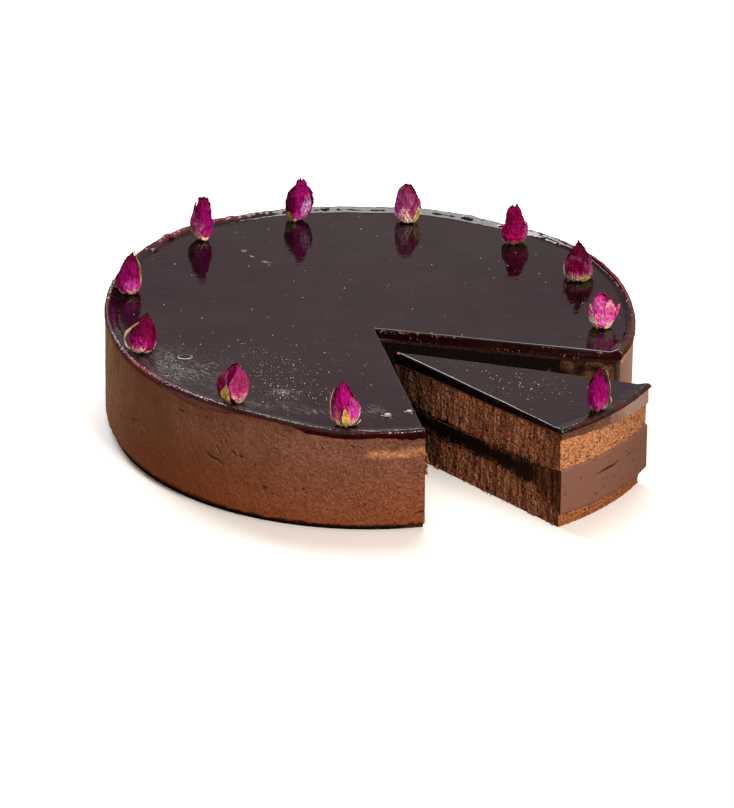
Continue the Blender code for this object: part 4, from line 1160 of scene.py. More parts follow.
# Each bud: azimuth (degrees) and radius, height, and how light it is. Then how far it reaches to -X
# and to +X of its foot's middle at each of OUTLINE_LEVELS. Then its petals and sepals: azimuth, half
# width (degrees), foot and tip (shares of the height), stand-off, bow and flare (mm), how pointed,
# and the tints of its foot, its body and its edge. The last bud is on the slice.
OUTLINE_LEVELS = (0.0, 0.06, 0.20, 0.42, 0.64, 0.84, 0.95, 1.0)
BUDS = (
    (108.3, 118.0, 22.3, 1.1,
     (3.2, 3.8, 4.6, 4.7, 3.3, 0.1, -0.9, -2.2), (3.0, 5.4, 7.6, 8.9, 8.2, 6.0, 5.6, 4.2), (
        (90, 95, 0.05, 0.97, 0.0, 0.0, 0.0, 0.3, "crimson", "crimson", "wine"),
        (-75, 85, 0.03, 1.0, 0.1, 0.0, 0.1, 0.25, "orchid", "magenta", "magenta"),
        (-52, 30, 0.08, 0.66, 0.25, 0.1, 0.0, 0.3, "orchid", "lilac", "orchid"),
        (-158, 56, 0.04, 0.80, 0.5, 0.2, 0.2, 0.6, "magenta", "wine", "crimson"),
        (4, 30, 0.10, 0.76, 0.5, 0.2, 0.3, 0.7, "crimson", "wine", "wine"),
        (-140, 24, 0.0, 0.27, 0.6, 0.3, 0.2, 0.9, "leaf", "leaf", "moss"),
        (-100, 16, 0.0, 0.12, 0.5, 0.2, 0.1, 0.9, "leaf", "cream", "leaf"),
        (70, 18, 0.0, 0.35, 0.6, 0.3, 0.2, 0.9, "leaf", "leaf", "moss"))),
    (80.1, 113.6, 19.8, 1.15,
     (4.5, 5.7, 7.0, 7.0, 6.0, 4.8, 3.7, 2.0), (3.5, 4.6, 5.3, 5.9, 4.8, 3.5, 2.7, 1.5), (
        (90, 100, 0.05, 0.97, 0.0, 0.0, 0.0, 0.1, "mauve", "crimson", "crimson"),
        (-95, 88, 0.04, 1.0, 0.1, 0.0, 0.0, 0.2, "blush", "mauve", "crimson"),
        (-165, 45, 0.05, 0.90, 0.4, 0.0, 0.1, 0.3, "lilac", "orchid", "mauve"),
        (-100, 40, 0.03, 0.50, 0.2, 0.1, 0.0, 0.5, "cream", "blush", "mauve"),
        (-28, 46, 0.05, 0.68, 0.5, 0.1, 0.4, 0.5, "blush", "mauve", "crimson"),
        (-32, 26, 0.0, 0.44, 0.6, 0.2, 0.0, 0.8, "leaf", "leaf", "cream"),
        (60, 18, 0.0, 0.40, 0.7, 0.3, 0.2, 0.9, "leaf", "leaf", "moss"))),
    (50.5, 113.6, 19.8, 1.05,
     (3.3, 4.5, 5.7, 5.2, 4.2, 4.0, 3.2, 1.4), (3.3, 4.6, 6.3, 6.4, 4.8, 3.6, 3.0, 1.6), (
        (90, 90, 0.1, 0.98, 0.0, 0.0, 0.0, 0.1, "magenta", "crimson", "crimson"),
        (-90, 92, 0.10, 1.0, 0.1, 0.0, 0.0, 0.2, "magenta", "ruby", "ruby"),
        (-165, 50, 0.05, 0.46, 0.5, 0.3, 0.7, 0.4, "magenta", "ruby", "magenta"),
        (-85, 55, 0.03, 0.50, 0.4, 0.3, 0.1, 0.4, "mauve", "ruby", "magenta"),
        (-15, 46, 0.05, 0.56, 0.5, 0.2, 0.4, 0.5, "leaf", "mauve", "magenta"),
        (-40, 24, 0.0, 0.13, 0.6, 0.4, 1.2, 0.8, "leaf", "leaf", "moss"),
        (-100, 22, 0.0, 0.10, 0.6, 0.2, 0.3, 0.8, "leaf", "leaf", "moss"),
        (-165, 18, 0.0, 0.13, 0.8, 0.4, 0.8, 0.8, "leaf", "moss", "moss"),
        (80, 18, 0.0, 0.30, 0.8, 0.3, 0.2, 0.9, "leaf", "leaf", "moss"))),
    (22.5, 110.5, 20.1, 0.68,
     (5.0, 5.8, 5.7, 5.6, 4.1, 2.1, 1.0, 0.3), (6.1, 6.8, 7.2, 7.1, 5.3, 2.5, 1.5, 0.7), (
        (80, 95, 0.05, 1.0, 0.0, 0.0, 0.0, 0.9, "crimson", "crimson", "wine"),
        (-60, 70, 0.05, 1.0, -0.3, 0.0, 0.0, 0.9, "crimson", "crimson", "wine"),
        (-165, 36, 0.05, 0.76, 0.2, 0.1, 0.1, 0.6, "mauve", "crimson", "wine"),
        (-108, 56, 0.03, 0.66, 0.7, 0.4, -0.1, 0.3, "blush", "crimson", "mauve"),
        (-14, 42, 0.04, 0.62, 0.3, 0.2, 0.1, 0.5, "blush", "mauve", "mauve"),
        (-172, 15, 0.0, 0.42, 0.9, 0.6, 0.8, 0.8, "leaf", "cream", "leaf"),
        (-60, 24, 0.0, 0.17, 0.7, 0.2, 0.1, 0.8, "leaf", "leaf", "cream"),
        (-15, 18, 0.0, 0.22, 0.7, 0.2, 0.2, 0.8, "leaf", "leaf", "moss"),
        (-120, 18, 0.0, 0.10, 0.7, 0.2, 0.1, 0.8, "leaf", "leaf", "moss"))),
    (-4.9, 112.2, 17.3, 1.5,
     (2.8, 3.9, 5.3, 5.6, 4.8, 4.0, 2.8, 1.2), (4.1, 4.9, 6.1, 6.9, 6.3, 4.3, 2.7, 1.0), (
        (90, 100, 0.05, 0.96, 0.0, 0.0, 0.1, 0.3, "rose", "magenta", "rose"),
        (-110, 80, 0.05, 1.0, 0.0, 0.0, 0.0, 0.4, "orchid", "pink", "magenta"),
        (-168, 42, 0.08, 0.66, 0.4, 0.2, 0.9, 0.4, "blush", "pink", "blush"),
        (-95, 50, 0.05, 0.64, 0.4, 0.2, 0.0, 0.3, "pink", "pink", "orchid"),
        (-45, 48, 0.04, 0.80, 0.5, 0.1, 0.0, 0.3, "cream", "pink", "blush"),
        (-2, 34, 0.12, 0.62, 0.4, 0.3, 2.6, 0.4, "blush", "rose", "pink"),
        (-140, 26, 0.0, 0.44, 0.7, 0.2, 0.3, 0.6, "leaf", "cream", "cream"),
        (-60, 22, 0.0, 0.10, 0.6, 0.2, 0.0, 0.8, "leaf", "cream", "leaf"),
        (60, 20, 0.0, 0.34, 0.8, 0.3, 0.3, 0.8, "leaf", "leaf", "moss"))),
    (172.0, 117.2, 21.2, 0.95,
     (3.8, 5.3, 6.2, 5.3, 3.1, 0.8, -1.2, -2.4), (4.4, 5.6, 6.3, 6.1, 5.5, 4.1, 3.4, 2.9), (
        (90, 95, 0.05, 0.96, 0.0, 0.0, 0.0, 0.8, "magenta", "crimson", "wine"),
        (-95, 88, 0.03, 0.98, 0.0, 0.0, 0.0, 0.9, "orchid", "magenta", "wine"),
        (-165, 36, 0.05, 0.42, 0.3, 0.2, 0.2, 0.5, "blush", "crimson", "crimson"),
        (-72, 44, 0.04, 0.44, 0.3, 0.1, 0.0, 0.5, "blush", "orchid", "magenta"),
        (-22, 30, 0.04, 0.60, 0.2, 0.0, 0.0, 0.5, "orchid", "ruby", "crimson"),
        (-6, 17, 0.0, 1.03, 0.3, 0.2, 0.0, 0.5, "leaf", "leaf", "cream"),
        (-70, 26, 0.0, 0.07, 0.6, 0.2, 0.0, 0.8, "leaf", "leaf", "leaf"),
        (-130, 20, 0.0, 0.07, 0.6, 0.2, 0.0, 0.8, "leaf", "cream", "moss"),
        (100, 18, 0.0, 0.50, 0.8, 0.3, 0.2, 0.9, "leaf", "leaf", "moss"))),
    (135.5, 117.1, 22.6, 1.0,
     (2.9, 4.9, 7.3, 8.1, 6.3, 5.2, 4.6, 3.0), (1.2, 1.7, 2.7, 3.5, 2.9, 2.8, 2.4, 1.4), (
        (90, 95, 0.05, 0.97, 0.0, 0.0, 0.0, 0.4, "magenta", "crimson", "crimson"),
        (-75, 85, 0.06, 1.0, 0.0, 0.0, 0.0, 0.4, "orchid", "magenta", "crimson"),
        (-168, 44, 0.08, 0.86, 0.3, 0.1, 0.1, 0.4, "blush", "mauve", "magenta"),
        (-110, 50, 0.05, 0.60, 0.3, 0.2, 0.0, 0.4, "cream", "mauve", "magenta"),
        (-35, 50, 0.03, 0.48, 0.4, 0.2, 0.0, 0.4, "orchid", "magenta", "magenta"),
        (-150, 20, 0.0, 0.38, 0.6, 0.2, 0.1, 0.9, "moss", "leaf", "moss"),
        (-70, 30, 0.0, 0.12, 0.5, 0.2, 0.0, 0.8, "leaf", "cream", "leaf"),
        (70, 18, 0.0, 0.32, 0.7, 0.3, 0.2, 0.9, "leaf", "leaf", "moss"))),
    (-156.1, 117.6, 19.2, 0.85,
     (4.4, 5.8, 6.1, 5.6, 3.5, 0.9, -1.1, -2.0), (4.2, 5.3, 6.1, 6.9, 5.8, 4.3, 3.2, 2.7), (
        (90, 95, 0.05, 0.97, 0.0, 0.0, 0.0, 0.7, "magenta", "crimson", "crimson"),
        (-50, 90, 0.03, 1.0, 0.2, 0.0, 0.0, 0.8, "crimson", "ruby", "wine"),
        (-140, 56, 0.03, 0.66, 0.3, 0.1, 0.0, 0.6, "blush", "magenta", "crimson"),
        (-100, 34, 0.03, 0.48, 0.4, 0.1, 0.0, 0.6, "cream", "orchid", "magenta"),
        (-5, 36, 0.06, 0.70, 0.3, 0.1, 0.3, 0.8, "magenta", "crimson", "wine"),
        (-176, 15, 0.0, 0.74, 0.9, 2.6, -1.6, 0.8, "cream", "cream", "cream"),
        (-120, 26, 0.0, 0.10, 0.6, 0.2, 0.0, 0.8, "cream", "cream", "leaf"),
        (-60, 22, 0.0, 0.08, 0.6, 0.2, 0.0, 0.8, "cream", "blush", "cream"),
        (-10, 18, 0.0, 0.22, 0.5, 0.3, 0.2, 0.8, "leaf", "cream", "blush"),
        (60, 18, 0.0, 0.34, 0.7, 0.3, 0.2, 0.9, "leaf", "leaf", "moss"))),
    (-122.0, 118.2, 18.6, 0.85,
     (4.1, 5.5, 7.1, 7.8, 6.1, 3.1, 1.2, -0.2), (4.2, 5.0, 5.9, 6.5, 5.4, 3.9, 2.9, 1.6), (
        (90, 95, 0.05, 0.97, 0.0, 0.0, 0.0, 0.5, "magenta", "crimson", "crimson"),
        (-105, 60, 0.06, 0.99, -0.2, 0.0, 0.0, 0.6, "wine", "crimson", "magenta"),
        (-158, 50, 0.04, 0.80, 0.4, 0.3, 0.1, 0.5, "orchid", "crimson", "mauve"),
        (-48, 60, 0.04, 0.96, 0.5, 0.3, 0.0, 0.5, "blush", "rose", "orchid"),
        (-115, 17, 0.0, 0.56, 0.9, 0.3, 0.1, 1.0, "leaf", "leaf", "cream"),
        (-172, 16, 0.0, 0.30, 0.6, 0.2, 0.1, 0.9, "leaf", "moss", "moss"),
        (-55, 20, 0.0, 0.08, 0.5, 0.2, 0.0, 0.8, "cream", "cream", "leaf"),
        (70, 18, 0.0, 0.34, 0.7, 0.3, 0.2, 0.9, "leaf", "leaf", "moss"))),
    (-95.4, 118.4, 21.5, 1.15,
     (3.3, 4.9, 6.4, 6.4, 6.1, 4.8, 3.8, 2.2), (3.0, 4.4, 6.0, 6.0, 3.7, 1.9, 0.9, -0.6), (
        (90, 95, 0.05, 0.97, 0.0, 0.0, 0.0, 0.7, "magenta", "crimson", "crimson"),
        (-90, 75, 0.05, 1.0, 0.0, 0.0, 0.0, 0.45, "blush", "fuchsia", "magenta"),
        (-150, 46, 0.04, 0.62, 0.3, 0.2, 0.0, 0.6, "cream", "mauve", "crimson"),
        (-40, 46, 0.03, 0.66, 0.4, 0.3, 0.0, 0.5, "cream", "orchid", "pink"),
        (2, 30, 0.05, 0.52, 0.5, 0.2, 0.2, 0.5, "cream", "blush", "crimson"),
        (-172, 14, 0.0, 0.84, 0.8, 0.6, 0.2, 0.8, "leaf", "leaf", "blush"),
        (-88, 15, 0.0, 0.54, 0.8, 0.4, 0.1, 0.9, "leaf", "leaf", "cream"),
        (-125, 18, 0.0, 0.14, 0.6, 0.2, 0.0, 0.8, "cream", "cream", "leaf"),
        (-20, 16, 0.0, 0.16, 0.7, 0.8, 1.4, 0.8, "leaf", "leaf", "cream"),
        (60, 18, 0.0, 0.34, 0.7, 0.3, 0.2, 0.9, "leaf", "leaf", "moss"))),
    (-42.7, 120.6, 19.9, 0.7,
     (2.6, 3.6, 4.7, 4.8, 4.0, 2.0, 1.0, -0.1), (3.4, 4.1, 4.9, 5.1, 4.5, 3.1, 2.3, 1.2), (
        (90, 95, 0.05, 0.97, 0.0, 0.0, 0.0, 0.7, "magenta", "crimson", "crimson"),
        (-100, 88, 0.04, 1.0, 0.1, 0.0, 0.0, 0.45, "orchid", "fuchsia", "magenta"),
        (-30, 40, 0.05, 0.62, 0.3, 0.1, 0.0, 0.5, "blush", "fuchsia", "orchid"),
        (-160, 34, 0.05, 0.46, 0.3, 0.1, 0.0, 0.5, "orchid", "magenta", "crimson"),
        (6, 11, 0.0, 0.96, 0.6, 0.2, 1.5, 0.8, "cream", "cream", "cream"),
        (-12, 11, 0.0, 0.38, 0.8, 1.2, -0.2, 0.8, "leaf", "cream", "leaf"),
        (-100, 20, 0.0, 0.06, 0.5, 0.2, 0.0, 0.8, "leaf", "leaf", "moss"),
        (-150, 18, 0.0, 0.12, 0.5, 0.2, 0.1, 0.8, "leaf", "leaf", "moss"),
        (60, 16, 0.0, 0.40, 0.7, 0.3, 0.3, 0.9, "leaf", "leaf", "moss"))),
)
# How far some stand from there, in X and Y (mm).
BUD_SHIFTS = {1: (-0.8, -1.8), 3: (0.0, -1.3), 5: (-0.8, 0.0), 6: (-1.3, 0.0), 7: (1.5, -3.4),
              11: (0.7, -1.2)}


def bud_form(level, left, right):
    """A bud's middle and half width (mm) at a share of its height, from its two outlines."""
    left, right = (sum(np.interp(level + step, OUTLINE_LEVELS, side) for step in (-0.03, 0.0, 0.03)) / 3.0
                   for side in (left, right))
    return (right - left) / 2.0, np.maximum((right + left) / 2.0 - WRAP, 0.15)


def tint(name):
    return np.array(linear(TINTS[name])[:3])


def petal(size, row, seed):
    """Points with colours, and faces, of one petal or sepal: a thin closed shell."""
    height, lightness, left, right = size
    azimuth, half, foot, tip, off, bow, flare, point, inner, body, edge = row
    broad = half > BROADEST_SEPAL
    across, along = PETAL_GRID if broad else SEPAL_GRID
    u, v = np.meshgrid(np.linspace(-1.0, 1.0, across), np.linspace(0.0, 1.0, along), indexing="ij")

    # Its width: fullest at the belly, drawn in to its point, with a ragged tip and edges.
    past = np.clip(v - BELLY, 0.0, 1.0) / (1.0 - BELLY)
    high = np.clip(1.0 - past ** 2.2, 0.0, 1.0) ** (0.4 + 0.6 * point)
    wide = np.where(v < BELLY, 0.55 + 0.45 * ease(0.0, BELLY, v), np.maximum(high, 0.95 - 1.1 * point))
    wide = wide * (1.0 + 0.11 * noise(0.07, seed + 7, v, np.sign(u)) * np.abs(u) ** 2)
    ragged = 0.06 * noise(0.35, seed, u + 9.0, v * 0.1) + 0.05 * noise(0.13, seed + 6, u, v * 0.1)
    level = foot + (tip - foot) * (v + ragged * v ** 3)
    turn = np.radians(azimuth + u * half * wide + 3.0 * noise(0.5, seed + 1, v, u * 0.2))

    # How far out it lies: round the bud's body, with folds that run up it and fine crinkles.
    middle, girth = bud_form(level, left, right)
    arc = np.radians(u * half * wide) * (left[3] + right[3]) / 2
    folds = np.abs(noise(1.6, seed + 2, arc + 1.5 * v, v * height / 4.0))
    crinkle = (0.32 - 0.95 * folds + 0.24 * noise(0.9, seed + 3, arc, v * height / 2.5)
               + 0.30 * noise(1.0, seed + 8, arc, v * height)) * (0.4 + 0.6 * v) * broad
    out = girth + off + bow * np.sin(np.pi * v) + flare * v ** 2.5 + crinkle
    out = out + 0.25 * np.abs(u) ** 3 * ease(0.2, 0.6, v)

    # Its colour: paler at the foot, where painted light lightens it too, another tint at the rim,
    # streaked along, dark in the folds.
    pale = ease(0.38, 0.05, v + 0.10 * noise(0.5, seed + 4, arc))
    rim = np.clip(ease(0.55, 1.0, np.abs(u)) + ease(0.75, 1.0, v), 0.0, 1.0)
    streak = 0.3 * noise(0.8, seed + 5, arc, v * height / 4.0) + 0.3 * noise(0.9, seed + 9, arc, v * height)
    streak = np.clip(0.62 + streak - 0.35 * (folds < DARKEST_VEIN), 0.0, 1.0)
    colour = tint(body) + (tint(edge) - tint(body)) * (rim * (0.5 + 0.5 * streak))[..., None]
    colour = colour + (tint(inner) - colour) * np.clip(pale * (0.6 + 0.6 * streak), 0.0, 1.0)[..., None]
    # Painted light: up to twice as light towards the foot.
    shade = lightness * (0.30 + 0.62 * streak) * (1.0 + 1.0 * ease(0.6, 0.1, level))
    colour = colour * shade[..., None]

    points = []
    for depth in (0.0, PETAL_THICK):
        held = np.maximum(out - depth, 0.02)
        shell = np.stack((middle + held * np.cos(turn), held * np.sin(turn), level * height), axis=-1)
        points.append(np.concatenate((shell, colour), axis=-1).reshape(-1, 6))
    front = np.arange(across * along).reshape(across, along)
    back = front + front.size
    border = np.concatenate((front[:-1, 0], front[-1, :-1], front[:0:-1, -1], front[0, :0:-1]))
    strip = np.stack((border, np.roll(border, -1), np.roll(border, -1) + front.size,
                      border + front.size), axis=-1)
    return np.concatenate(points), grid_faces(front) + grid_faces(back[:, ::-1]) + strip.tolist()


def heart(size, colour, share, foot, tip, seed):
    """A closed turned body inside the petals, or the green cup under them."""
    height, lightness, left, right = size
    v, turn = np.meshgrid(np.linspace(0.0, 1.0, 16), np.linspace(0.0, math.tau, 25)[:-1], indexing="ij")
    level = foot + (tip - foot) * v
    middle, girth = bud_form(level, left, right)
    out = share * girth * np.sqrt(np.clip(1.0 - (2 * v - 1) ** 6, 0.0, 1.0))
    out = out * (1.0 + 0.06 * noise(0.6, seed, np.cos(turn), np.sin(turn), v))
    points = np.stack((middle + out * np.cos(turn), out * np.sin(turn), level * height), axis=-1)
    shade = np.broadcast_to(0.6 * lightness * tint(colour), points.shape)
    faces = grid_faces(np.arange(v.size).reshape(v.shape), around=True)
    return np.concatenate((points, shade), axis=-1).reshape(-1, 6), faces


# Dried petal: papery and matt, with fine veins along it.
petal_material, tree, shader = new_material("dried_rose_petal")
spots = add_node(tree, "ShaderNodeTexCoord").outputs["Object"]
own = add_node(tree, "ShaderNodeAttribute", attribute_name="tint").outputs["Color"]
veins_at = add_node(tree, "ShaderNodeMapping", {"Vector": spots, "Scale": (1.0, 1.0, 0.3)})
veins = add_node(tree, "ShaderNodeTexNoise", {"Vector": veins_at.outputs[0], "Scale": pattern_scale(VEINS),
                                              "Detail": 3.0, "Roughness": 0.7})
shade = add_node(tree, "ShaderNodeMapRange", {0: veins.outputs["Fac"], 1: 0.34, 2: 0.66, 3: 0.45, 4: 1.5})
tone = add_node(tree, "ShaderNodeMix", {0: 1.0, 6: own, 7: shade.outputs[0]},
                data_type="RGBA", blend_type="MULTIPLY")
rough = add_node(tree, "ShaderNodeBump", {"Height": veins.outputs["Fac"], "Strength": 1.0,
                                          "Distance": VEIN_DEPTH * MM})
feed(tree, shader, {"Base Color": tone.outputs[2], "Normal": rough.outputs[0], "Roughness": PETAL_ROUGH,
                    "Specular IOR Level": PETAL_SHINE})

for index, (azimuth, radius, height, lightness, left, right, rows) in enumerate(BUDS, start=1):
    size = (height, lightness, left, right)
    on_slice = index == len(BUDS)
    middle = SLICE_RING if on_slice else (RING_LEAN * TOP, 0.0)
    x, y = np.add(on_ray(middle, azimuth, radius), BUD_SHIFTS.get(index, (0.0, 0.0)))
    level = slice_flat if on_slice else glaze_flat
    place = np.array((x, y, float(level(np.array(x), np.array(y))) + BUD_RISE, 0.0, 0.0, 0.0))
    parts = [heart(size, "crimson", 0.9, 0.04, 0.95, index), heart(size, "moss", 0.75, -0.005, 0.10, index)]
    parts += [petal(size, row, 1000 * index + 10 * k) for k, row in enumerate(rows)]
    faces, first = [], 0
    for part_points, part_faces in parts:
        faces += [[first + corner_point for corner_point in face] for face in part_faces]
        first += len(part_points)
    bud = solid("dried_rosebud_%02d" % index, np.concatenate([part[0] for part in parts]) + place, faces)
    finish(bud, petal_material, "rose", "rosebud_%02d" % index)


# ---- Specks on the glaze ----
# Fine air bubbles that burst as the glaze set, each with its glint painted on as a white speck:
# half a millimetre across at most.
# They lie thickest over the front of the cake and the outer half of the slice.
SPECK_SMALLEST, SPECK_LARGEST = 0.05, 0.25     # radius, millimetres
SPECK_SKEW = 6.0                     # how much rarer the large ones are
SPECKS_EACH_METRE = 1400000.0        # on a square metre where they lie thickest
SPECK_SEED = 7
SPECK_GRID = (90, 50)                # points round and out of the mesh that carries their density
SPECK_CLEAR, SPECK_EDGE = 1.0, 7.5   # they keep off the cuts (degrees) and the edge (mm)
# Places where they crowd: x and y, spread along X and Y (mm), share of the thickest.
CAKE_CROWDS = ((-41.0, -76.0, 13.0, 20.0, 0.30), (-34.0, -92.0, 16.0, 7.0, 0.40),
               (-38.0, -90.0, 5.0, 3.0, 1.0), (-44.0, -54.0, 30.0, 18.0, 0.07),
               (-8.0, -70.0, 20.0, 26.0, 0.03), (-86.0, -60.0, 20.0, 16.0, 0.10))
SLICE_CROWDS = ((76.0, -76.0, 22.0, 11.0, 0.22), (50.0, -58.0, 22.0, 8.0, 0.06))
SPECK_EVERYWHERE = 0.006
SPECK_GLINT_WHITE, SPECK_ROUGH = "D8D4D0", 0.35


def crowded(name, apex, cuts, reach_at, level, crowds):
    """An open mesh over the glaze, which carries how thickly the specks lie."""
    round_by, out_by = SPECK_GRID
    turn = np.linspace(cuts[0] + SPECK_CLEAR, cuts[1] - SPECK_CLEAR, round_by)[:, None]
    far = (reach_at(turn) - SPECK_EDGE) * np.linspace(0.03, 1.0, out_by)[None, :]
    x, y = on_ray(apex, turn, far)
    thick = SPECK_EVERYWHERE + sum(much * np.exp(-((x - mx) / wide) ** 2 - ((y - my) / deep) ** 2)
                                   for mx, my, wide, deep, much in crowds)
    points = np.stack((x, y, level(x, y)), axis=-1).reshape(-1, 3)
    mesh = bpy.data.meshes.new(name)
    mesh.from_pydata((points * MM).tolist(), [], grid_faces(np.arange(x.size).reshape(x.shape)))
    layer = mesh.attributes.new("crowd", "FLOAT", "POINT")
    layer.data.foreach_set("value", np.clip(thick, 0.0, 1.0).ravel().astype(np.float32))
    made = bpy.data.objects.new(name, mesh)
    bpy.context.scene.collection.objects.link(made)
    return made


def new_tree(name, sockets):
    """An empty Geometry Nodes tree, and the identifiers of its sockets by name."""
    made = bpy.data.node_groups.new(name, "GeometryNodeTree")
    add = made.interface.new_socket
    return made, {title: add(title, in_out=way, socket_type="NodeSocket" + kind).identifier
                  for title, way, kind in sockets}


def grow(carrier, tree, values):
    """Runs a tree on an object, and leaves the result as its plain mesh."""
    modifier = carrier.modifiers.new(tree.name, "NODES")
    modifier.node_group = tree
    for identifier, value in values.items():
        modifier[identifier] = value
    grown = bpy.data.meshes.new_from_object(carrier.evaluated_get(bpy.context.evaluated_depsgraph_get()))
    carrier.modifiers.remove(modifier)
    carrier.data = grown


# Painted glints: white and slightly shiny.
speck_material, tree, shader = new_material("painted_glint_white")
feed(tree, shader, {"Base Color": linear(SPECK_GLINT_WHITE), "Roughness": SPECK_ROUGH})

speck_tree, socket = new_tree("scattered_specks", (
    ("Surface", "INPUT", "Geometry"), ("Per Square Metre", "INPUT", "Float"),
    ("Smallest", "INPUT", "Float"), ("Largest", "INPUT", "Float"), ("Skew", "INPUT", "Float"),
    ("Seed", "INPUT", "Int"), ("Specks", "OUTPUT", "Geometry")))
given = add_node(speck_tree, "NodeGroupInput").outputs
crowd = add_node(speck_tree, "GeometryNodeInputNamedAttribute", {"Name": "crowd"}, data_type="FLOAT")
density = add_node(speck_tree, "ShaderNodeMath", {
    0: crowd.outputs["Attribute"], 1: given["Per Square Metre"]}, operation="MULTIPLY")
spread = add_node(speck_tree, "GeometryNodeDistributePointsOnFaces", {
    "Mesh": given["Surface"], "Density": density.outputs[0], "Seed": given["Seed"]})
luck = add_node(speck_tree, "FunctionNodeRandomValue", {"Seed": given["Seed"]}, data_type="FLOAT")
luck = add_node(speck_tree, "ShaderNodeMath", {0: luck.outputs[1], 1: given["Skew"]}, operation="POWER")
girth = add_node(speck_tree, "ShaderNodeMapRange", {0: luck.outputs[0], 3: given["Smallest"],
                                                    4: given["Largest"]})
ball = add_node(speck_tree, "GeometryNodeMeshUVSphere", {"Segments": 6, "Rings": 4, "Radius": 1.0})
placed = add_node(speck_tree, "GeometryNodeInstanceOnPoints", {
    "Points": spread.outputs["Points"], "Instance": ball.outputs["Mesh"], "Scale": girth.outputs[0]})
real = add_node(speck_tree, "GeometryNodeRealizeInstances", {0: placed.outputs[0]})
dressed = add_node(speck_tree, "GeometryNodeSetMaterial", {0: real.outputs[0], "Material": speck_material})
add_node(speck_tree, "NodeGroupOutput", {0: dressed.outputs[0]})

speck_values = {socket["Per Square Metre"]: SPECKS_EACH_METRE, socket["Smallest"]: SPECK_SMALLEST * MM,
                socket["Largest"]: SPECK_LARGEST * MM, socket["Skew"]: SPECK_SKEW,
                socket["Seed"]: SPECK_SEED}
cake_specks = crowded("cake_glint_specks", CUT_APEX, (FAR_CUT, NEAR_CUT), lambda d: cake_reach(d, TOP),
                      glaze_flat, CAKE_CROWDS)
slice_specks = crowded("slice_glint_specks", SLICE_TIP, SLICE_CUTS, slice_reach, slice_flat, SLICE_CROWDS)
for piece in (cake_specks, slice_specks):
    grow(piece, speck_tree, speck_values)
    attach(piece, "root")


# ---- Blisters on the glaze ----
# Larger bubbles that stayed under the skin of the glaze as it set, as low domes 3 to 8 mm long.
# x and y, half length, half width, rise (mm), turn (degrees), how much painted highlight its rim and
# its crown carry, and how crimson it is.
BLISTERS = ((9.0, -109.4, 3.6, 2.6, 0.9, 0.0, 0.0, 0.6, 0.0),
            (19.0, -105.6, 3.0, 2.0, 0.8, 0.0, 0.0, 0.6, 0.0),
            (-86.2, -53.9, 3.9, 2.8, 0.35, 0.0, 0.28, 0.0, 0.0),
            (-61.7, 67.8, 1.7, 1.5, 0.6, 0.0, 0.05, 0.0, 0.8),
            (-51.0, 55.9, 3.4, 1.0, 0.3, -20.0, 0.1, 0.3, 0.0),
            (-57.5, 61.5, 2.6, 0.5, 0.25, -40.0, 0.0, 0.5, 0.0),
            (-107.0, 62.0, 3.4, 2.4, 1.5, 30.0, 0.0, 0.0, 0.1))
BLISTER_CHANNELS = ("painted_glint", "crimson")
BLISTER_ROUGH = 0.12
BLISTER_BELOW = 0.5                  # its closed underside is this share of its rise down

rings, turns = np.meshgrid(np.concatenate((np.linspace(0.0, 1.0, 12), (0.8, 0.0))),
                           np.linspace(0.0, math.tau, 25)[:-1], indexing="ij")
lift = np.sqrt(1.0 - rings ** 2)
lift[-2:] = -BLISTER_BELOW
points, faces = [], []
for x, y, long, wide, rise, turned, rim_glint, crown_glint, crimson in BLISTERS:
    along, across = long * rings * np.cos(turns), wide * rings * np.sin(turns)
    turned = math.radians(turned)
    spot = glaze_flat(np.array(x), np.array(y)) - OVERLAP
    painted_glint = rim_glint * ease(0.74, 0.84, rings) * ease(1.0, 0.9, rings) + crown_glint * ease(0.5, 0.3, rings)
    row = np.stack((x + along * math.cos(turned) - across * math.sin(turned),
                    y + along * math.sin(turned) + across * math.cos(turned),
                    spot + rise * lift, painted_glint, np.full_like(rings, crimson)), axis=-1)
    faces += grid_faces(np.arange(rings.size).reshape(rings.shape) + len(points) * rings.size, around=True)
    points.append(row.reshape(-1, row.shape[-1]))
blisters = solid("glaze_blisters", np.concatenate(points), faces, BLISTER_CHANNELS)

# The glaze's skin, stretched thin: glossy, with its highlights painted on in white.
blister_material, tree, shader = new_material("stretched_glaze_skin")
tone = linear(GLAZE_DARK)
for name, colour in (("crimson", GLAZE_THIN), ("painted_glint", SPECK_GLINT_WHITE)):
    share = add_node(tree, "ShaderNodeAttribute", attribute_name=name).outputs["Fac"]
    tone = add_node(tree, "ShaderNodeMix", {0: share, 6: tone, 7: linear(colour)},
                    data_type="RGBA").outputs[2]
feed(tree, shader, {"Base Color": tone, "Roughness": BLISTER_ROUGH})
finish(blisters, blister_material, "glaze")


# ---- Crumbs ----
# Bits of sponge and mousse that the knife pulled away: along the top of the far cut, down the
# corner of the near cut, and round the feet of the cut faces. Each is a torn lump up to 2 mm across.
CRUMB_TONE, CRUMB_SHADE = "A06A4E", "4A2819"
CRUMB_ROUGH, CRUMB_SHINE = 0.85, 0.15
CRUMB_MOTTLE = 2.0                   # size of its patches (mm)
CRUMB_RAGGED = 1.6
CRUMB_REST = 0.6                     # the lowest lie this share of their radius over the floor
CRUMB_SEED = 11
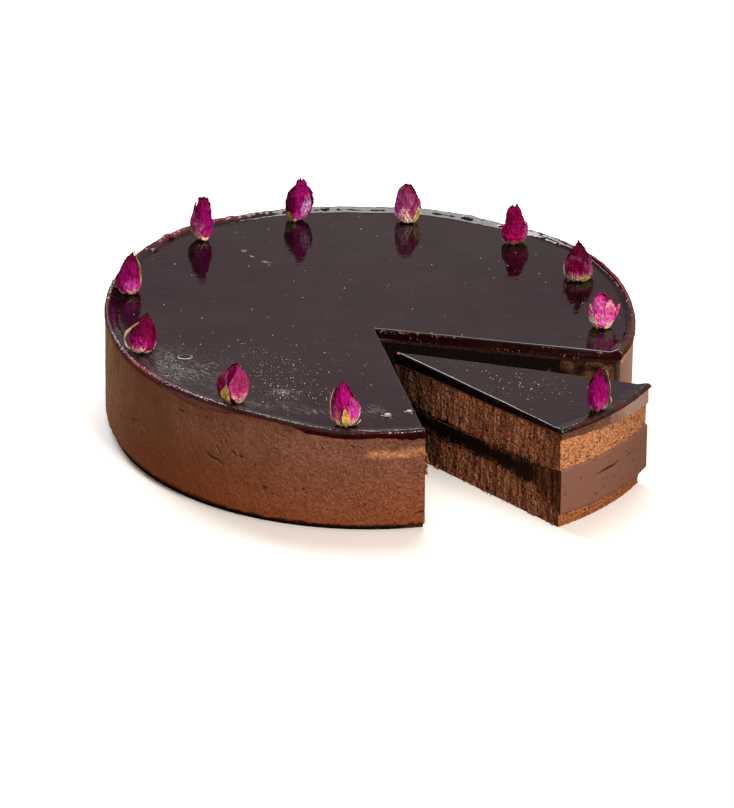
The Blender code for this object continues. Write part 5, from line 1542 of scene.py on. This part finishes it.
# From one end of a line to the other (mm), spread round it, how many, smallest and largest radius.
CRUMB_LINES = (
    ((5.8, -18.9, 51.6), (24.9, -21.8, 51.2), 0.8, 14, 0.35, 1.00),
    ((30.0, -22.6, 51.0), (44.0, -25.2, 50.7), 0.8, 10, 0.30, 0.80),
    ((83.0, -32.6, 49.6), (92.0, -34.0, 49.4), 0.7, 8, 0.25, 0.60),
    ((108.0, -36.9, 48.9), (112.0, -37.6, 48.8), 0.6, 5, 0.25, 0.60),
    ((20.0, -21.0, 47.0), (112.0, -37.6, 46.0), 1.2, 34, 0.15, 0.50),
    ((26.4, -124.4, 38.7), (26.3, -124.4, 28.4), 0.55, 34, 0.40, 1.00),
    ((25.6, -123.6, 28.0), (25.5, -123.8, 4.0), 0.25, 12, 0.25, 0.50),
    ((14.0, -41.3, 0.8), (86.5, -121.6, 0.4), 0.9, 100, 0.20, 0.70),
    ((13.5, -41.0, 50.6), (15.0, -42.8, 50.6), 0.5, 4, 0.30, 0.60),
)

# Torn chocolate sponge, as the cake's: matt and uneven in tone.
crumb_material, tree, shader = new_material("torn_chocolate_crumb")
spots = add_node(tree, "ShaderNodeTexCoord").outputs["Object"]
mottle = add_node(tree, "ShaderNodeTexNoise", {"Vector": spots, "Scale": pattern_scale(CRUMB_MOTTLE),
                                               "Detail": 2.0})
mottled = add_node(tree, "ShaderNodeMapRange", {0: mottle.outputs["Fac"], 1: 0.4, 2: 0.6})
tone = add_node(tree, "ShaderNodeMix", {
    0: mottled.outputs[0], 6: linear(CRUMB_TONE), 7: linear(CRUMB_SHADE)}, data_type="RGBA")
feed(tree, shader, {"Base Color": tone.outputs[2], "Roughness": CRUMB_ROUGH,
                    "Specular IOR Level": CRUMB_SHINE})

crumb_tree, socket = new_tree("scattered_crumbs", (
    ("Places", "INPUT", "Geometry"), ("Raggedness", "INPUT", "Float"), ("Seed", "INPUT", "Int"),
    ("Crumbs", "OUTPUT", "Geometry")))
given = add_node(crumb_tree, "NodeGroupInput").outputs
size_here = add_node(crumb_tree, "GeometryNodeInputNamedAttribute", {"Name": "size"}, data_type="FLOAT")
dots = add_node(crumb_tree, "GeometryNodeMeshToPoints", {"Mesh": given["Places"]})
ball = add_node(crumb_tree, "GeometryNodeMeshIcoSphere", {"Radius": 1.0, "Subdivisions": 2})
dented = add_node(crumb_tree, "ShaderNodeTexNoise", {"Scale": 1.3, "Detail": 1.0})
centred = add_node(crumb_tree, "ShaderNodeVectorMath", {0: dented.outputs["Color"], 1: (0.5, 0.5, 0.5)},
                   operation="SUBTRACT")
pulled = add_node(crumb_tree, "ShaderNodeVectorMath", {0: centred.outputs[0], "Scale": given["Raggedness"]},
                  operation="SCALE")
lump = add_node(crumb_tree, "GeometryNodeSetPosition", {"Geometry": ball.outputs["Mesh"],
                                                        "Offset": pulled.outputs[0]})
twist = add_node(crumb_tree, "FunctionNodeRandomValue", {1: (math.tau, math.tau, math.tau),
                                                         "Seed": given["Seed"]}, data_type="FLOAT_VECTOR")
placed = add_node(crumb_tree, "GeometryNodeInstanceOnPoints", {
    "Points": dots.outputs[0], "Instance": lump.outputs[0], "Rotation": twist.outputs[0],
    "Scale": size_here.outputs["Attribute"]})
real = add_node(crumb_tree, "GeometryNodeRealizeInstances", {0: placed.outputs[0]})
dressed = add_node(crumb_tree, "GeometryNodeSetMaterial", {0: real.outputs[0], "Material": crumb_material})
add_node(crumb_tree, "NodeGroupOutput", {0: dressed.outputs[0]})

random = np.random.default_rng(CRUMB_SEED)
spots, sizes = [], []
for start, end, spread_by, count, least, most in CRUMB_LINES:
    share = random.random((count, 1))
    spots.append(np.array(start) + (np.array(end) - np.array(start)) * share
                 + spread_by * random.normal(size=(count, 3)) * (0.5, 0.5, 0.4))
    sizes.append(least + (most - least) * random.random(count) ** 2)
spots, sizes = np.concatenate(spots), np.concatenate(sizes)
spots[:, 2] = np.maximum(spots[:, 2], CRUMB_REST * sizes)
mesh = bpy.data.meshes.new("sponge_crumbs")
mesh.from_pydata((spots * MM).tolist(), [], [])
mesh.attributes.new("size", "FLOAT", "POINT").data.foreach_set("value", (sizes * MM).astype(np.float32))
crumbs = bpy.data.objects.new("sponge_crumbs", mesh)
bpy.context.scene.collection.objects.link(crumbs)
grow(crumbs, crumb_tree, {socket["Raggedness"]: CRUMB_RAGGED, socket["Seed"]: CRUMB_SEED})
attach(crumbs, "root")
